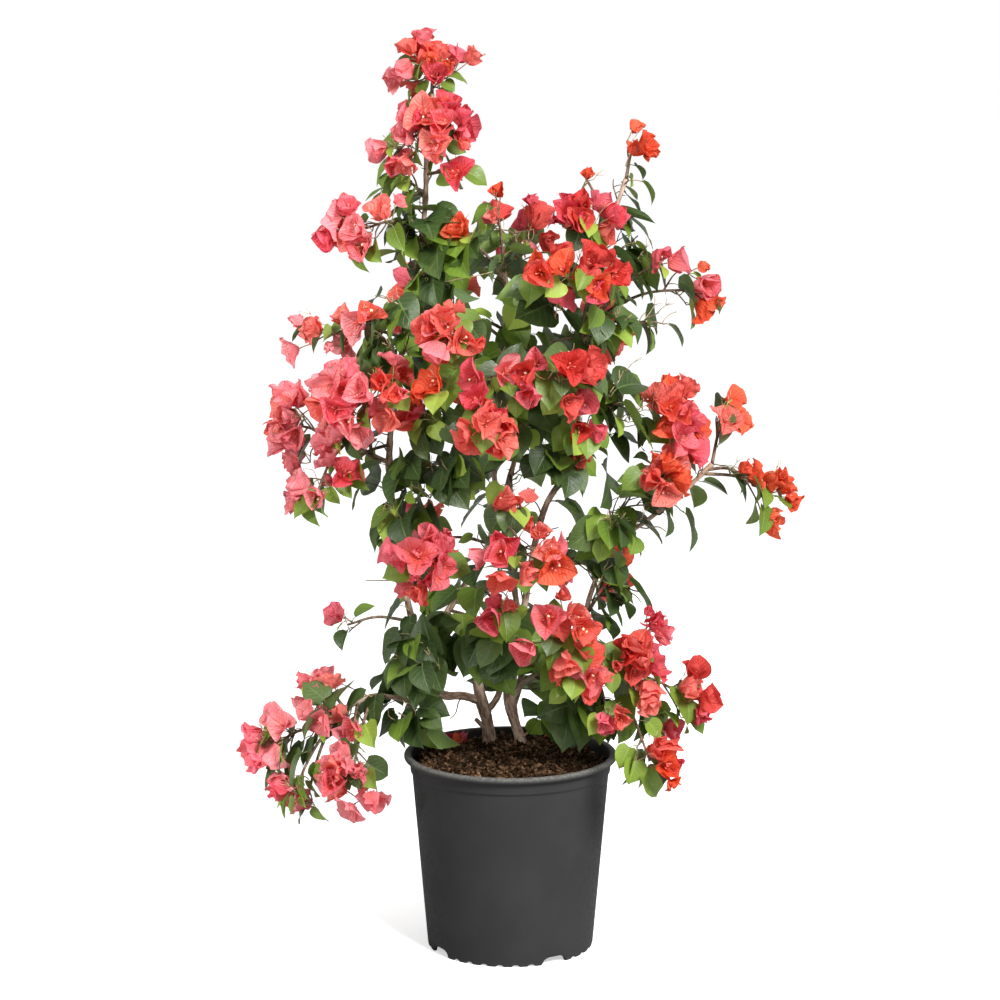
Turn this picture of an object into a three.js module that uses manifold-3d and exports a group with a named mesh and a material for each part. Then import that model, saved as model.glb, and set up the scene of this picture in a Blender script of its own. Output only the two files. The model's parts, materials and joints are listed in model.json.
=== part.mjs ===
// Bougainvillea bush, grown upright, in the round nursery pot that it is sold in.
// Millimetres, +Z up. The origin is the centre of the pot's flat underside, and the bush's front faces -Y.
// Two woody trunks leave the potting mix and branch into long stems and boughs, which carry the masses: from
// one stalk in each mass, twigs branch by a seeded rule, and leaves and three-bract blooms are fused to them.

import * as THREE from 'three';
import { mergeVertices } from 'three/addons/utils/BufferGeometryUtils.js';
import Module from 'manifold-3d';

const wasm = await Module();
wasm.setup();

// Driving dimensions of the pot: outside radii, and heights above the surface that it stands on.
const POT_HEIGHT = 260;
const RIM_RADIUS = 140;
const RIM_DEPTH = 9;
const RIM_EASE = 1;
const BAND_RADIUS = 133;
const BAND_DEPTH = 14;
const LEDGE = 2;
const BODY_TOP_RADIUS = 129.5;
const BODY_FOOT_RADIUS = 109.5;
const FOOT_CHAMFER = 3;
const WALL = 2.6;
const FLOOR = 4;
const POT_SEGMENTS = 32;

// Drain notches cut into the pot's lower edge.
const DRAIN_COUNT = 4;
const DRAIN_FIRST_DEG = 32;
const DRAIN_WIDTH = 36;
const DRAIN_HEIGHT = 9;
const DRAIN_DEPTH = 12;

// The potting mix fills the pot to a low mound with a flat top, where the trunks stand.
const MIX_TOP = 258;
const MIX_FLAT_RADIUS = 86;
const MIX_SHOULDER_RADIUS = 102;
const MIX_SHOULDER_DROP = 4;
const MIX_EDGE_HEIGHT = 245;
const MIX_EDGE_SPREAD = 1;

// Clearances between separate pieces: at the trunks' flat cut, in the pot, where a limb leaves another,
// and at the planes that part one mass from the next.
const GAP = 0.35;
const MIX_CLEARANCE = 0.5;
const LIMB_CLEARANCE = 0.55;

// Corners this close are one. The shortest edge that a fused solid may have, and the least height of one of
// its triangles.
const WELD = 0.001;
const FINEST_EDGE = 0.02;
const FINEST_HEIGHT = 0.001;

// Facets of limbs, by thickness, the length of one of their straight steps, and how far up a trunk its foot
// is flared.
const THICK_LIMB_RADIUS = 5;
const THICK_SIDES = 8;
const THIN_SIDES = 5;
const STALK_SIDES = 4;
const TWIG_SIDES = 3;
const LIMB_STEP = 44;
const STALK_STEP = 60;
const FLARE_LENGTH = 50;

// Radii of stalks and twigs, and how much thinner than its limb a stalk is at least. How high a stalk arches
// over its chord, as a share of it, and where. Where the twigs leave it: the first one this far back from its
// tip, the others over at most these shares of the stalk and of the mass's depth.
const STALK_FOOT_RADIUS = 2.6;
const STALK_TIP_RADIUS = 2.3;
const TWIG_FOOT_RADIUS = 1.5;
const TWIG_TIP_RADIUS = 1.4;
const STALK_THINNER = 0.1;
const STALK_ARCH = 0.1;
const STALK_ARCH_STEP = 0.004;
const STALK_BEND_AT = 0.55;
const TWIG_ROOT_FIRST = 6;
const TWIG_ROOT_SPAN = 0.8;

// How widely the twigs of a mass spread (2 is all round), and how far inside the mass's reach they end.
const TWIG_SPREAD = 1.6;
const TWIG_INSET_LEAST = 20;
const TWIG_INSET_MOST = 30;

// One leaf, and one bloom of three bracts.
const LEAF_LENGTH = 76;
const LEAF_WIDTH = 60;
const LEAF_WIDEST = 0.4;
const LEAF_THICKNESS = 2;
const LEAF_FOLD = 5;
const LEAF_SINK = 0.5;
const BRACT_RADIUS = 32;
const BRACT_NOTCH_RADIUS = 19;
const BRACT_CUP = 12;
const BLOOM_HEART = 3;

// How a leaf is held: how far it may droop, how much it heads away from the crown's axis, how much its face
// is turned up, and where the last leaf stands on its twig. A bloom's bracts are turned about this direction.
const LEAF_DROOP = 0.7;
const LEAF_OUTWARD = 0.4;
const LEAF_FACE_RISE = 1.1;
const LAST_LEAF_AT = 0.97;
const BLOOM_TURN_TOWARDS = [0.2, 0.1, 1];

// The share of its full size at which a bloom or leaf is tried first, and the reach below which a mass's are
// smaller. How many ways a twig, leaf or bloom is tried before it is skipped, after how many a bloom may lie
// against its neighbours, how much smaller it gets and how much further its twig's end strays each time, and
// how far past its reach a mass may run.
const BLOOM_SIZE = 1.12;
const LEAF_SIZE = 1.15;
const VIGOROUS_REACH = 58;
const LEAST_VIGOUR = 0.72;
const TRIES = 16;
const ROOMY_TRIES = 15;
const SHRINK = 0.025;
const TWIG_STRAY = 6;
const REACH_SLACK = 1.25;

// The crown's upright axis, and how far below its own centre each mass is seen from to face outwards and up.
const CROWN_AXIS_FOOT = [0, 30, 0];
const CROWN_LIFT = 40;
const GOLDEN_ANGLE = Math.PI * (3 - Math.sqrt(5));
const SEEDS_PER_MASS = 100;

// The block that takes away what lies below the trunks' flat cut.
const GROUND_SPAN = 400;
const GROUND_DEPTH = 100;

const looks = {
  pot: { color: '#3d3d3e', roughness: 0.55, metalness: 0 },
  potting_mix: { color: '#2a1d13', roughness: 1, metalness: 0 },
  bark: { color: '#73604f', roughness: 0.9, metalness: 0 },
  leaf: { color: '#4a6b2c', roughness: 0.6, metalness: 0 },
  bloom: { color: '#ee5f63', roughness: 0.7, metalness: 0 },
};

const vector = (x, y, z) => new THREE.Vector3(x, y, z);
const { lerp, clamp, degToRad } = THREE.MathUtils;

// A closed three.js geometry as a solid.
function solidOf(geometry) {
  const bare = geometry.clone();
  bare.deleteAttribute('normal');
  bare.deleteAttribute('uv');
  const merged = mergeVertices(bare, WELD);
  return new wasm.Manifold(new wasm.Mesh({
    numProp: 3,
    vertProperties: new Float32Array(merged.attributes.position.array),
    triVerts: new Uint32Array(merged.index.array),
  }));
}

// A solid as a named mesh with a material of its own.
function meshOf(solid, name, slot) {
  const { vertProperties, triVerts } = solid.getMesh();
  const geometry = new THREE.BufferGeometry();
  geometry.setAttribute('position', new THREE.BufferAttribute(new Float32Array(vertProperties), 3));
  geometry.setIndex(new THREE.BufferAttribute(new Uint32Array(triVerts), 1));
  const mesh = new THREE.Mesh(geometry, new THREE.MeshStandardMaterial({ name: slot, ...looks[slot] }));
  mesh.name = name;
  return mesh;
}

// The largest closed body of a solid, so that a loose scrap is dropped and a sealed hollow is filled.
function mainBody(solid) {
  return solid.decompose().reduce((best, body) => (body.volume() > best.volume() ? body : best));
}

// Whether a solid's corners all lie clearly apart and none of its faces is a sliver, so that it stays closed
// when its corners are rounded.
function sound(solid) {
  const { vertProperties, triVerts } = solid.getMesh();
  const corners = [];
  for (let i = 0; i < vertProperties.length; i += 3) corners.push(vector(...vertProperties.slice(i, i + 3)));
  for (let i = 0; i < triVerts.length; i += 3) {
    const [a, b, c] = [0, 1, 2].map((k) => corners[triVerts[i + k]]);
    const longest = Math.max(a.distanceTo(b), b.distanceTo(c), c.distanceTo(a));
    if ((2 * new THREE.Triangle(a, b, c).getArea()) / longest < FINEST_HEIGHT) return false;
  }
  corners.sort((a, b) => a.x - b.x);
  return corners.every((corner, i) => {
    let next = i + 1;
    while (next < corners.length && corners[next].x - corner.x < FINEST_EDGE) {
      if (corners[next].distanceTo(corner) < FINEST_EDGE) return false;
      next += 1;
    }
    return true;
  });
}

// Numbers from 0 to 1 that a seed fixes.
function seeded(seed) {
  let state = seed >>> 0;
  return () => {
    state = (state + 0x6d2b79f5) >>> 0;
    let t = Math.imul(state ^ (state >>> 15), state | 1);
    t ^= t + Math.imul(t ^ (t >>> 7), t | 61);
    return ((t ^ (t >>> 14)) >>> 0) / 4294967296;
  };
}

// A round limb along a curve: a cylinder whose rings are moved onto the curve, with the radius that radiusAt
// gives. margin makes it fatter all round and longer at both ends.
function limbGeometry(curve, radiusAt, sides, steps, margin = 0) {
  const cylinder = new THREE.CylinderGeometry(1, 1, 1, sides, steps);
  const place = cylinder.attributes.position;
  const at = new THREE.Vector3();
  for (let i = 0; i < place.count; i += 1) {
    const t = clamp(place.getY(i) + 0.5, 0, 1);
    const along = curve.getTangentAt(t);
    const side = vector(0, 1, 0).cross(along).normalize();
    const ahead = along.clone().cross(side);
    const radius = radiusAt(t) + margin;
    curve.getPointAt(t, at);
    at.addScaledVector(along, margin * (Math.floor(t) - Math.floor(1 - t)));
    at.addScaledVector(side, -place.getX(i) * radius).addScaledVector(ahead, place.getZ(i) * radius);
    place.setXYZ(i, at.x, at.y, at.z);
  }
  return cylinder;
}

// A lathe-turned body about the Z axis, from its outline as pairs of radius and height.
function turned(outline) {
  const profile = outline.map(([radius, height]) => new THREE.Vector2(radius, height));
  return solidOf(new THREE.LatheGeometry(profile, POT_SEGMENTS).rotateX(Math.PI / 2));
}

const RIM_FOOT = POT_HEIGHT - RIM_DEPTH;
const BAND_FOOT = RIM_FOOT - BAND_DEPTH;
const BODY_TOP = BAND_FOOT - LEDGE;

// The pot: a turned shell with a stepped upper band and a rim, and notches in its lower edge for draining.
function buildPot() {
  let pot = turned([
    [0, 0],
    [BODY_FOOT_RADIUS - FOOT_CHAMFER, 0],
    [BODY_FOOT_RADIUS, FOOT_CHAMFER],
    [BODY_TOP_RADIUS, BODY_TOP],
    [BODY_TOP_RADIUS + LEDGE, BAND_FOOT],
    [BAND_RADIUS, RIM_FOOT],
    [RIM_RADIUS - RIM_EASE, RIM_FOOT],
    [RIM_RADIUS, POT_HEIGHT - RIM_DEPTH / 2],
    [RIM_RADIUS - 2 * RIM_EASE, POT_HEIGHT],
    [BAND_RADIUS - WALL, POT_HEIGHT],
    [BODY_TOP_RADIUS - WALL, BODY_TOP],
    [BODY_FOOT_RADIUS - WALL, FLOOR],
    [0, FLOOR],
  ]);
  for (let i = 0; i < DRAIN_COUNT; i += 1) {
    const notch = new THREE.BoxGeometry(DRAIN_WIDTH, DRAIN_DEPTH, DRAIN_HEIGHT * 2);
    notch.translate(0, BODY_FOOT_RADIUS, 0);
    notch.rotateZ(degToRad(DRAIN_FIRST_DEG + (i * 360) / DRAIN_COUNT));
    pot = pot.subtract(solidOf(notch));
  }
  return mainBody(pot);
}

// The potting mix: a turned plug that stands clear of the pot's wall and floor and rises to a mound.
function buildMix() {
  const inset = WALL + MIX_CLEARANCE;
  return turned([
    [0, FLOOR + GAP],
    [BODY_FOOT_RADIUS - inset, FLOOR + GAP],
    [BODY_TOP_RADIUS - inset, BODY_TOP],
    [BODY_TOP_RADIUS - inset + MIX_EDGE_SPREAD, MIX_EDGE_HEIGHT],
    [MIX_SHOULDER_RADIUS, MIX_TOP - MIX_SHOULDER_DROP],
    [MIX_FLAT_RADIUS, MIX_TOP],
    [0, MIX_TOP],
  ]);
}

// Every trunk, stem and bough is one tapering limb. from names the limb that it leaves, and its route starts
// on that limb's centre line. foot and tip are its radii, and flare widens a trunk's foot. A trunk's route
// starts a little below the cut.
const SUNK = MIX_TOP - 14;
const COLLAR = MIX_TOP + 4;
const LIMBS = [
  { name: 'trunk_left', foot: 8, tip: 6.4, flare: 4,
    route: [[-26, 56, SUNK], [-28, 56, COLLAR], [-31, 55, 288], [-39, 54, 318], [-44, 53, 344]] },
  { name: 'trunk_right', foot: 6.4, tip: 5.4, flare: 3,
    route: [[18, 64, SUNK], [13, 64, COLLAR], [5, 62, 288], [-1, 60, 314], [-3, 58, 336]] },
  { name: 'bough_left_cross', from: 'trunk_left', foot: 5.6, tip: 4.6,
    route: [[-38, 54, 314], [-62, 50, 323], [-86, 43, 325], [-110, 30, 338]] },
  { name: 'stem_left_tall', from: 'bough_left_cross', foot: 4.6, tip: 2.7,
    route: [[-109, 31, 337], [-118, 25, 384], [-136, 25, 462], [-152, 30, 560], [-158, 30, 650],
      [-146, 25, 752], [-128, 20, 856], [-111, 15, 960], [-106, 8, 1066], [-100, 4, 1118]] },
  { name: 'stem_left_inner', from: 'stem_left_tall', foot: 3.8, tip: 2.7,
    route: [[-119, 25, 388], [-100, 12, 418], [-68, 2, 470], [-34, 18, 524], [-10, 28, 590],
      [13, 40, 680], [14, 46, 760], [0, 46, 840], [-8, 42, 888]] },
  { name: 'bough_left_mid', from: 'stem_left_tall', foot: 3.4, tip: 2.7,
    route: [[-158, 30, 640], [-178, 20, 650], [-206, 8, 668], [-236, -6, 676]] },
  { name: 'bough_low_left', from: 'bough_left_cross', foot: 3.6, tip: 2.7,
    route: [[-90, 41, 326], [-116, 14, 322], [-152, -12, 336], [-184, -28, 340], [-216, -38, 326],
      [-246, -44, 304]] },
  { name: 'stem_right_tall', from: 'trunk_right', foot: 4.8, tip: 2.7,
    route: [[-3, 58, 330], [9, 60, 384], [20, 60, 452], [34, 50, 536], [48, 45, 584], [70, 40, 622],
      [84, 40, 672], [88, 35, 750], [96, 30, 830], [112, 30, 906], [134, 30, 968], [148, 30, 1008]] },
  { name: 'bough_right_low', from: 'trunk_right', foot: 4.4, tip: 2.7,
    route: [[-1, 60, 312], [20, 54, 342], [48, 42, 356], [90, 18, 364], [132, -18, 366]] },
  { name: 'stem_right_outer', from: 'bough_right_low', foot: 3.6, tip: 2.7,
    route: [[70, 30, 361], [92, 38, 412], [108, 40, 470], [134, 32, 530], [178, 25, 564], [232, 20, 610],
      [262, 18, 640]] },
  { name: 'stem_back', from: 'trunk_right', foot: 4.2, tip: 2.7,
    route: [[2, 61, 298], [14, 84, 338], [12, 104, 410], [-6, 116, 520], [-24, 120, 640], [-12, 112, 760],
      [4, 100, 860], [8, 92, 900]] },
];

// A mass: the limb and the place along it (0 foot, 1 tip) that its stalk leaves, its centre and its reach
// along x, y and z, how many twigs fan out of the stalk, how many of them end in a bloom, and the leaves on
// each twig.
const mass = (name, limb, at, centre, reach, twigs, blooms, leaves) => (
  { name, limb, at, centre: vector(...centre), reach: vector(...reach), twigs, blooms, leaves }
);

const MASSES = [
  mass('bloom_crest_top', 'stem_left_tall', 1, [-99, 0, 1150], [60, 48, 44], 6, 6, 0),
  mass('bloom_crest_low', 'stem_left_tall', 0.9, [-92, -30, 1066], [60, 44, 58], 7, 7, 0),
  mass('bloom_shoulder', 'stem_left_tall', 0.78, [-183, -50, 952], [68, 44, 48], 7, 7, 0),
  mass('bloom_top_middle', 'stem_left_inner', 1, [-17, 20, 968], [34, 32, 40], 2, 2, 1),
  mass('bloom_right_crest', 'stem_right_tall', 0.86, [87, -50, 960], [62, 44, 44], 7, 7, 0),
  mass('bloom_right_tip', 'stem_right_tall', 1, [156, 28, 1048], [44, 36, 44], 3, 3, 0),
  mass('bloom_right_upper', 'stem_right_tall', 0.78, [83, -125, 900], [74, 44, 42], 7, 7, 0),
  mass('bloom_right_high', 'stem_right_tall', 0.72, [232, 16, 868], [52, 46, 58], 5, 4, 0),
  mass('bloom_left_high', 'stem_left_tall', 0.6, [-228, -4, 812], [80, 48, 46], 7, 7, 0),
  mass('bloom_left_big', 'bough_left_mid', 0.3, [-182, -115, 744], [78, 54, 58], 9, 9, 0),
  mass('bloom_left_outer', 'bough_left_mid', 1, [-273, -6, 694], [46, 46, 72], 6, 6, 0),
  mass('bloom_left_lower', 'bough_left_mid', 0.72, [-246, -80, 619], [46, 40, 38], 4, 3, 0),
  mass('bloom_centre_top', 'stem_left_inner', 0.84, [-77, -140, 825], [44, 44, 46], 5, 5, 0),
  mass('bloom_centre', 'stem_left_inner', 0.62, [-26, -180, 725], [52, 44, 50], 6, 6, 0),
  mass('bloom_centre_right', 'stem_right_tall', 0.62, [57, -160, 771], [62, 44, 56], 7, 7, 0),
  mass('bloom_right_middle', 'stem_right_outer', 0.88, [206, 2, 686], [50, 50, 78], 8, 7, 0),
  mass('bloom_right_arch', 'stem_right_outer', 1, [276, 26, 702], [46, 40, 40], 4, 3, 0),
  mass('bloom_right_far', 'stem_right_outer', 0.95, [334, -4, 606], [52, 42, 56], 6, 5, 0),
  mass('bloom_left_breast', 'stem_left_tall', 0.26, [-108, -140, 534], [54, 46, 50], 6, 6, 0),
  mass('bloom_centre_low', 'stem_left_inner', 0.36, [19, -175, 555], [68, 44, 48], 7, 7, 0),
  mass('bloom_apron', 'bough_right_low', 0.5, [57, -180, 454], [62, 44, 58], 7, 7, 0),
  mass('bloom_right_low', 'bough_right_low', 0.86, [158, -120, 396], [46, 46, 62], 7, 7, 0),
  mass('bloom_right_skirt', 'bough_right_low', 1, [225, -70, 351], [44, 44, 54], 6, 5, 0),
  mass('bloom_right_drop', 'bough_right_low', 0.95, [177, -130, 281], [50, 42, 42], 5, 4, 0),
  mass('bloom_left_tip', 'bough_low_left', 1, [-303, -52, 284], [48, 46, 60], 7, 6, 0),
  mass('bloom_left_low', 'bough_low_left', 0.8, [-246, -10, 348], [44, 42, 42], 4, 4, 0),
  mass('bloom_left_fall', 'bough_low_left', 0.6, [-203, -110, 255], [52, 44, 56], 6, 6, 0),
  mass('bloom_left_small', 'stem_left_tall', 0.12, [-214, 30, 424], [40, 36, 38], 2, 1, 2),
  mass('bloom_back_top', 'stem_back', 1, [6, 122, 936], [60, 50, 50], 6, 6, 0),
  mass('bloom_back_left', 'stem_back', 0.82, [-108, 156, 838], [62, 52, 58], 7, 6, 0),
  mass('bloom_back_right', 'stem_back', 0.74, [112, 158, 792], [62, 52, 60], 7, 6, 0),
  mass('bloom_back_middle', 'stem_back', 0.56, [-16, 212, 690], [66, 50, 60], 7, 6, 0),
  mass('bloom_back_low_left', 'stem_back', 0.36, [-120, 160, 508], [62, 52, 58], 7, 6, 0),
  mass('bloom_back_low_right', 'stem_back', 0.28, [116, 164, 488], [62, 52, 60], 7, 6, 0),
  mass('leaves_crest', 'stem_left_tall', 0.83, [-139, 30, 1010], [52, 52, 52], 5, 0, 2),
  mass('leaves_shoulder', 'stem_left_tall', 0.7, [-72, 8, 896], [66, 66, 60], 5, 0, 3),
  mass('leaves_right_top', 'stem_right_tall', 0.8, [158, 40, 908], [52, 56, 58], 5, 0, 3),
  mass('leaves_top', 'stem_right_tall', 0.7, [39, -40, 863], [56, 66, 54], 5, 0, 3),
  mass('leaves_left_middle', 'stem_left_tall', 0.5, [-146, -30, 796], [58, 60, 56], 6, 0, 3),
  mass('leaves_centre', 'stem_left_inner', 0.66, [-8, -50, 726], [66, 78, 80], 6, 0, 3),
  mass('leaves_right_middle', 'stem_right_tall', 0.56, [140, 10, 720], [54, 74, 76], 6, 0, 3),
  mass('leaves_left_low', 'stem_left_tall', 0.34, [-111, -20, 612], [66, 76, 70], 5, 0, 3),
  mass('leaves_right_low', 'stem_right_outer', 0.5, [146, 8, 588], [66, 72, 60], 6, 0, 3),
  mass('leaves_skirt_right', 'stem_right_outer', 0.22, [134, 26, 478], [64, 66, 54], 5, 0, 3),
  mass('leaves_skirt_left', 'stem_left_tall', 0.06, [-104, -50, 403], [62, 62, 60], 5, 0, 3),
  mass('leaves_middle_low', 'stem_left_inner', 0.14, [-10, -62, 420], [56, 60, 60], 5, 0, 3),
  mass('leaves_foot', 'bough_right_low', 0.3, [83, -42, 322], [68, 58, 44], 5, 0, 2),
];

// A limb: its centre line, its solid, and a slightly fatter guard that other pieces keep clear of.
function growLimb({ foot, tip, flare = 0, route }, sides, step) {
  const curve = new THREE.CatmullRomCurve3(route.map((point) => vector(...point)), false, 'centripetal');
  const length = curve.getLength();
  const radiusAt = (t) => lerp(foot, tip, t) + flare * Math.max(0, 1 - (t * length) / FLARE_LENGTH) ** 2;
  const steps = Math.max(2, Math.round(length / step));
  const solid = solidOf(limbGeometry(curve, radiusAt, sides, steps));
  const guard = solidOf(limbGeometry(curve, radiusAt, sides, steps, LIMB_CLEARANCE));
  return { curve, length, tip, solid, guard };
}

// A blade closed by two shallow pyramids over its outline: a leaf has four outline points, a bloom six.
function bladeGeometry(outline, front, back) {
  const corners = [...outline, front, back].map((corner) => vector(...corner));
  const index = outline.flatMap((_, i) => {
    const next = (i + 1) % outline.length;
    return [i, next, outline.length, next, i, outline.length + 1];
  });
  return new THREE.BufferGeometry().setFromPoints(corners).setIndex(index);
}

// A leaf along +Y from its root, folded a little along its midrib, with its tip bent down.
function leafGeometry(size) {
  const length = LEAF_LENGTH * size;
  const half = (LEAF_WIDTH * size) / 2;
  const widest = length * LEAF_WIDEST;
  return bladeGeometry(
    [[0, -LEAF_SINK, 0], [half, widest, LEAF_FOLD], [0, length, -LEAF_FOLD], [-half, widest, LEAF_FOLD]],
    [0, widest, LEAF_THICKNESS / 2],
    [0, widest, -LEAF_THICKNESS / 2],
  );
}

// The frame of a piece with its root at a point, its +Y along one direction and its +Z towards another.
function frameAt(root, along, facing) {
  const y = along.clone().normalize();
  const x = y.clone().cross(facing).normalize();
  return new THREE.Matrix4().makeBasis(x, y, x.clone().cross(y)).setPosition(root);
}

const twigRadius = (t) => lerp(TWIG_FOOT_RADIUS, TWIG_TIP_RADIUS, t);

// A three-sided twig from its root to its end, which opens there into a bloom: three bracts in a shallow cup.
function bloomingTwig(root, end, facing, size) {
  const frame = frameAt(end, facing, vector(...BLOOM_TURN_TOWARDS));
  const start = root.clone().applyMatrix4(frame.clone().invert());
  const ring = (radius, height, turn) => vector(radius * Math.cos(turn), height, -radius * Math.sin(turn));
  const thirds = [0, 1, 2].map((i) => (i * 2 * Math.PI) / 3);
  const lobes = thirds.map((turn) => ring(BRACT_RADIUS * size, BRACT_CUP * size, turn));
  const sixth = Math.PI / 3;
  const notches = thirds.map((turn) => ring(BRACT_NOTCH_RADIUS * size, (BRACT_CUP * size) / 2, turn + sixth));
  const necks = thirds.map((turn) => ring(TWIG_TIP_RADIUS, -BLOOM_HEART, turn));
  const feet = thirds.map((turn) => ring(TWIG_FOOT_RADIUS, 0, turn).add(start));
  const corners = [...feet, ...necks, ...lobes, ...notches, vector(0, BLOOM_HEART, 0)];
  const [foot, neck, lobe, notch, heart] = [0, 3, 6, 9, 12];
  const index = [foot + 2, foot + 1, foot];
  for (let i = 0; i < 3; i += 1) {
    const j = (i + 1) % 3;
    index.push(foot + i, foot + j, neck + j, foot + i, neck + j, neck + i);
    index.push(neck + i, notch + i, lobe + i, neck + i, neck + j, notch + i, neck + j, lobe + j, notch + i);
    index.push(heart, lobe + i, notch + i, heart, notch + i, lobe + j);
  }
  return new THREE.BufferGeometry().setFromPoints(corners).setIndex(index).applyMatrix4(frame);
}

// How far a mass's ellipsoid of reach extends along a unit direction.
const extent = (reach, n) => Math.hypot(reach.x * n.x, reach.y * n.y, reach.z * n.z);

// A mass's own space: its ellipsoid of reach, and the planes that part it from every other mass.
function spaceOf(own) {
  const walls = MASSES.filter((other) => other !== own).map((other) => {
    const n = other.centre.clone().sub(own.centre);
    const distance = n.length();
    n.divideScalar(distance);
    const share = extent(own.reach, n) / (extent(own.reach, n) + extent(other.reach, n));
    return { n, limit: distance * share - GAP };
  });
  const holds = (offset) => (
    walls.every((wall) => offset.dot(wall.n) < wall.limit) && offset.divide(own.reach).length() < REACH_SLACK
  );
  return (geometry) => {
    const place = geometry.attributes.position;
    const offsets = Array.from({ length: place.count }, (_, i) => vector().fromBufferAttribute(place, i));
    return offsets.every((offset) => holds(offset.sub(own.centre)));
  };
}

// A solid with its bounding box, to pass quickly over what is far away.
function boxed(solid) {
  const { min, max } = solid.boundingBox();
  return { solid, box: new THREE.Box3(vector(...min), vector(...max)) };
}

const touch = (a, b) => a.box.intersectsBox(b.box) && !a.solid.intersect(b.solid).isEmpty();

// The stalk of a mass: it leaves its limb, arches up and ends at the mass's centre. It arches a little more
// where its cut foot would have too short an edge.
function growStalk(spec, limb) {
  const start = limb.curve.getPointAt(spec.at);
  const radii = { foot: Math.min(STALK_FOOT_RADIUS, limb.tip - STALK_THINNER), tip: STALK_TIP_RADIUS };
  for (let arch = STALK_ARCH; ; arch += STALK_ARCH_STEP) {
    const bend = start.clone().lerp(spec.centre, STALK_BEND_AT);
    bend.z += start.distanceTo(spec.centre) * arch;
    const route = [start, bend, spec.centre].map((point) => point.toArray());
    const stalk = growLimb({ ...radii, route }, STALK_SIDES, STALK_STEP);
    const solid = mainBody(stalk.solid.subtract(limb.guard));
    if (sound(solid)) return { ...stalk, solid };
  }
}

// The end of a mass's i-th twig: the ends spread evenly over an inner ellipsoid, from its outer side in.
function twigEnd(spec, i, outward, random) {
  const cosine = 1 - (TWIG_SPREAD * (i + 0.5)) / spec.twigs;
  const sine = Math.sqrt(1 - cosine * cosine);
  const turn = i * GOLDEN_ANGLE + random();
  const spread = vector(sine * Math.cos(turn), sine * Math.sin(turn), cosine);
  spread.applyQuaternion(new THREE.Quaternion().setFromUnitVectors(vector(0, 0, 1), outward));
  const inset = lerp(TWIG_INSET_LEAST, TWIG_INSET_MOST, random());
  return spread.multiply(spec.reach.clone().subScalar(inset)).add(spec.centre);
}

// A mass: twigs fan out of the stalk and end in a bloom or a leaf, and more leaves stand along them. What
// would leave the mass's space, or touch a limb or an older twig's leaves and bloom, is tried again another
// way or skipped.
function growMass(spec, number, stalk, guards) {
  const owns = spaceOf(spec);
  const grown = [];
  let body = stalk.solid;

  const attempt = (make, rivals, roomyTries) => {
    for (let tries = 0; tries < TRIES; tries += 1) {
      const geometry = make(tries);
      if (owns(geometry)) {
        const piece = boxed(solidOf(geometry));
        const others = tries < roomyTries ? [...guards, ...rivals] : guards;
        const joined = others.some((other) => touch(piece, other)) ? body : body.add(piece.solid);
        if (joined !== body && sound(joined)) {
          body = joined;
          grown.push(piece);
          return true;
        }
      }
    }
    return false;
  };

  const viewed = vector(...CROWN_AXIS_FOOT).setZ(spec.centre.z - CROWN_LIFT);
  const outward = spec.centre.clone().sub(viewed).normalize();
  const upward = vector(outward.x, outward.y, LEAF_FACE_RISE);
  const vigour = clamp(spec.reach.z / VIGOROUS_REACH, LEAST_VIGOUR, 1);
  const rooting = Math.min(stalk.length, spec.reach.y) * TWIG_ROOT_SPAN;
  for (let i = 0; i < spec.twigs; i += 1) {
    const random = seeded(number * SEEDS_PER_MASS + i);
    const either = () => random() - 0.5;
    const shaken = (amount) => vector(either(), either(), either()).multiplyScalar(amount);
    const end = twigEnd(spec, i, outward, random);
    const root = stalk.curve.getPointAt(1 - (TWIG_ROOT_FIRST + (rooting * i) / spec.twigs) / stalk.length);
    const blooming = i < spec.blooms;
    const rivals = [...grown];
    let line;
    const standing = attempt((tries) => {
      line = new THREE.LineCurve3(root, end.clone().add(shaken(TWIG_STRAY * tries)));
      if (!blooming) return limbGeometry(line, twigRadius, TWIG_SIDES, 1);
      const facing = line.getTangent(0).add(outward).add(shaken(1));
      return bloomingTwig(root, line.v2, facing, vigour * (BLOOM_SIZE - SHRINK * tries));
    }, rivals, blooming ? ROOMY_TRIES : TRIES);
    const leaves = standing ? spec.leaves + (blooming ? 0 : 1) : 0;
    for (let k = 0; k < leaves; k += 1) {
      const t = blooming ? 0.5 : (k + 1) / leaves;
      attempt((tries) => {
        const turn = k * GOLDEN_ANGLE + random() * 2 * Math.PI;
        const heading = vector(Math.cos(turn), Math.sin(turn), -LEAF_DROOP * random());
        heading.addScaledVector(outward, LEAF_OUTWARD).addScaledVector(line.getTangent(0), t);
        const leaf = leafGeometry(vigour * (LEAF_SIZE - SHRINK * tries));
        return leaf.applyMatrix4(frameAt(line.getPointAt(t * LAST_LEAF_AT), heading, upward));
      }, [...rivals, ...grown.slice(rivals.length + 1)], TRIES);
    }
  }
  return mainBody(body);
}

const bush = new THREE.Group();
bush.name = 'bougainvillea_bush';
bush.add(meshOf(buildPot(), 'pot', 'pot'), meshOf(buildMix(), 'potting_mix', 'potting_mix'));

const ground = new THREE.BoxGeometry(GROUND_SPAN, GROUND_SPAN, GROUND_DEPTH);
const underground = solidOf(ground.translate(0, 0, MIX_TOP + GAP - GROUND_DEPTH / 2));

const limbs = new Map();
for (const spec of LIMBS) {
  const limb = growLimb(spec, spec.foot > THICK_LIMB_RADIUS ? THICK_SIDES : THIN_SIDES, LIMB_STEP);
  limb.solid = mainBody(limb.solid.subtract(spec.from ? limbs.get(spec.from).guard : underground));
  limbs.set(spec.name, limb);
  bush.add(meshOf(limb.solid, spec.name, 'bark'));
}

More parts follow.
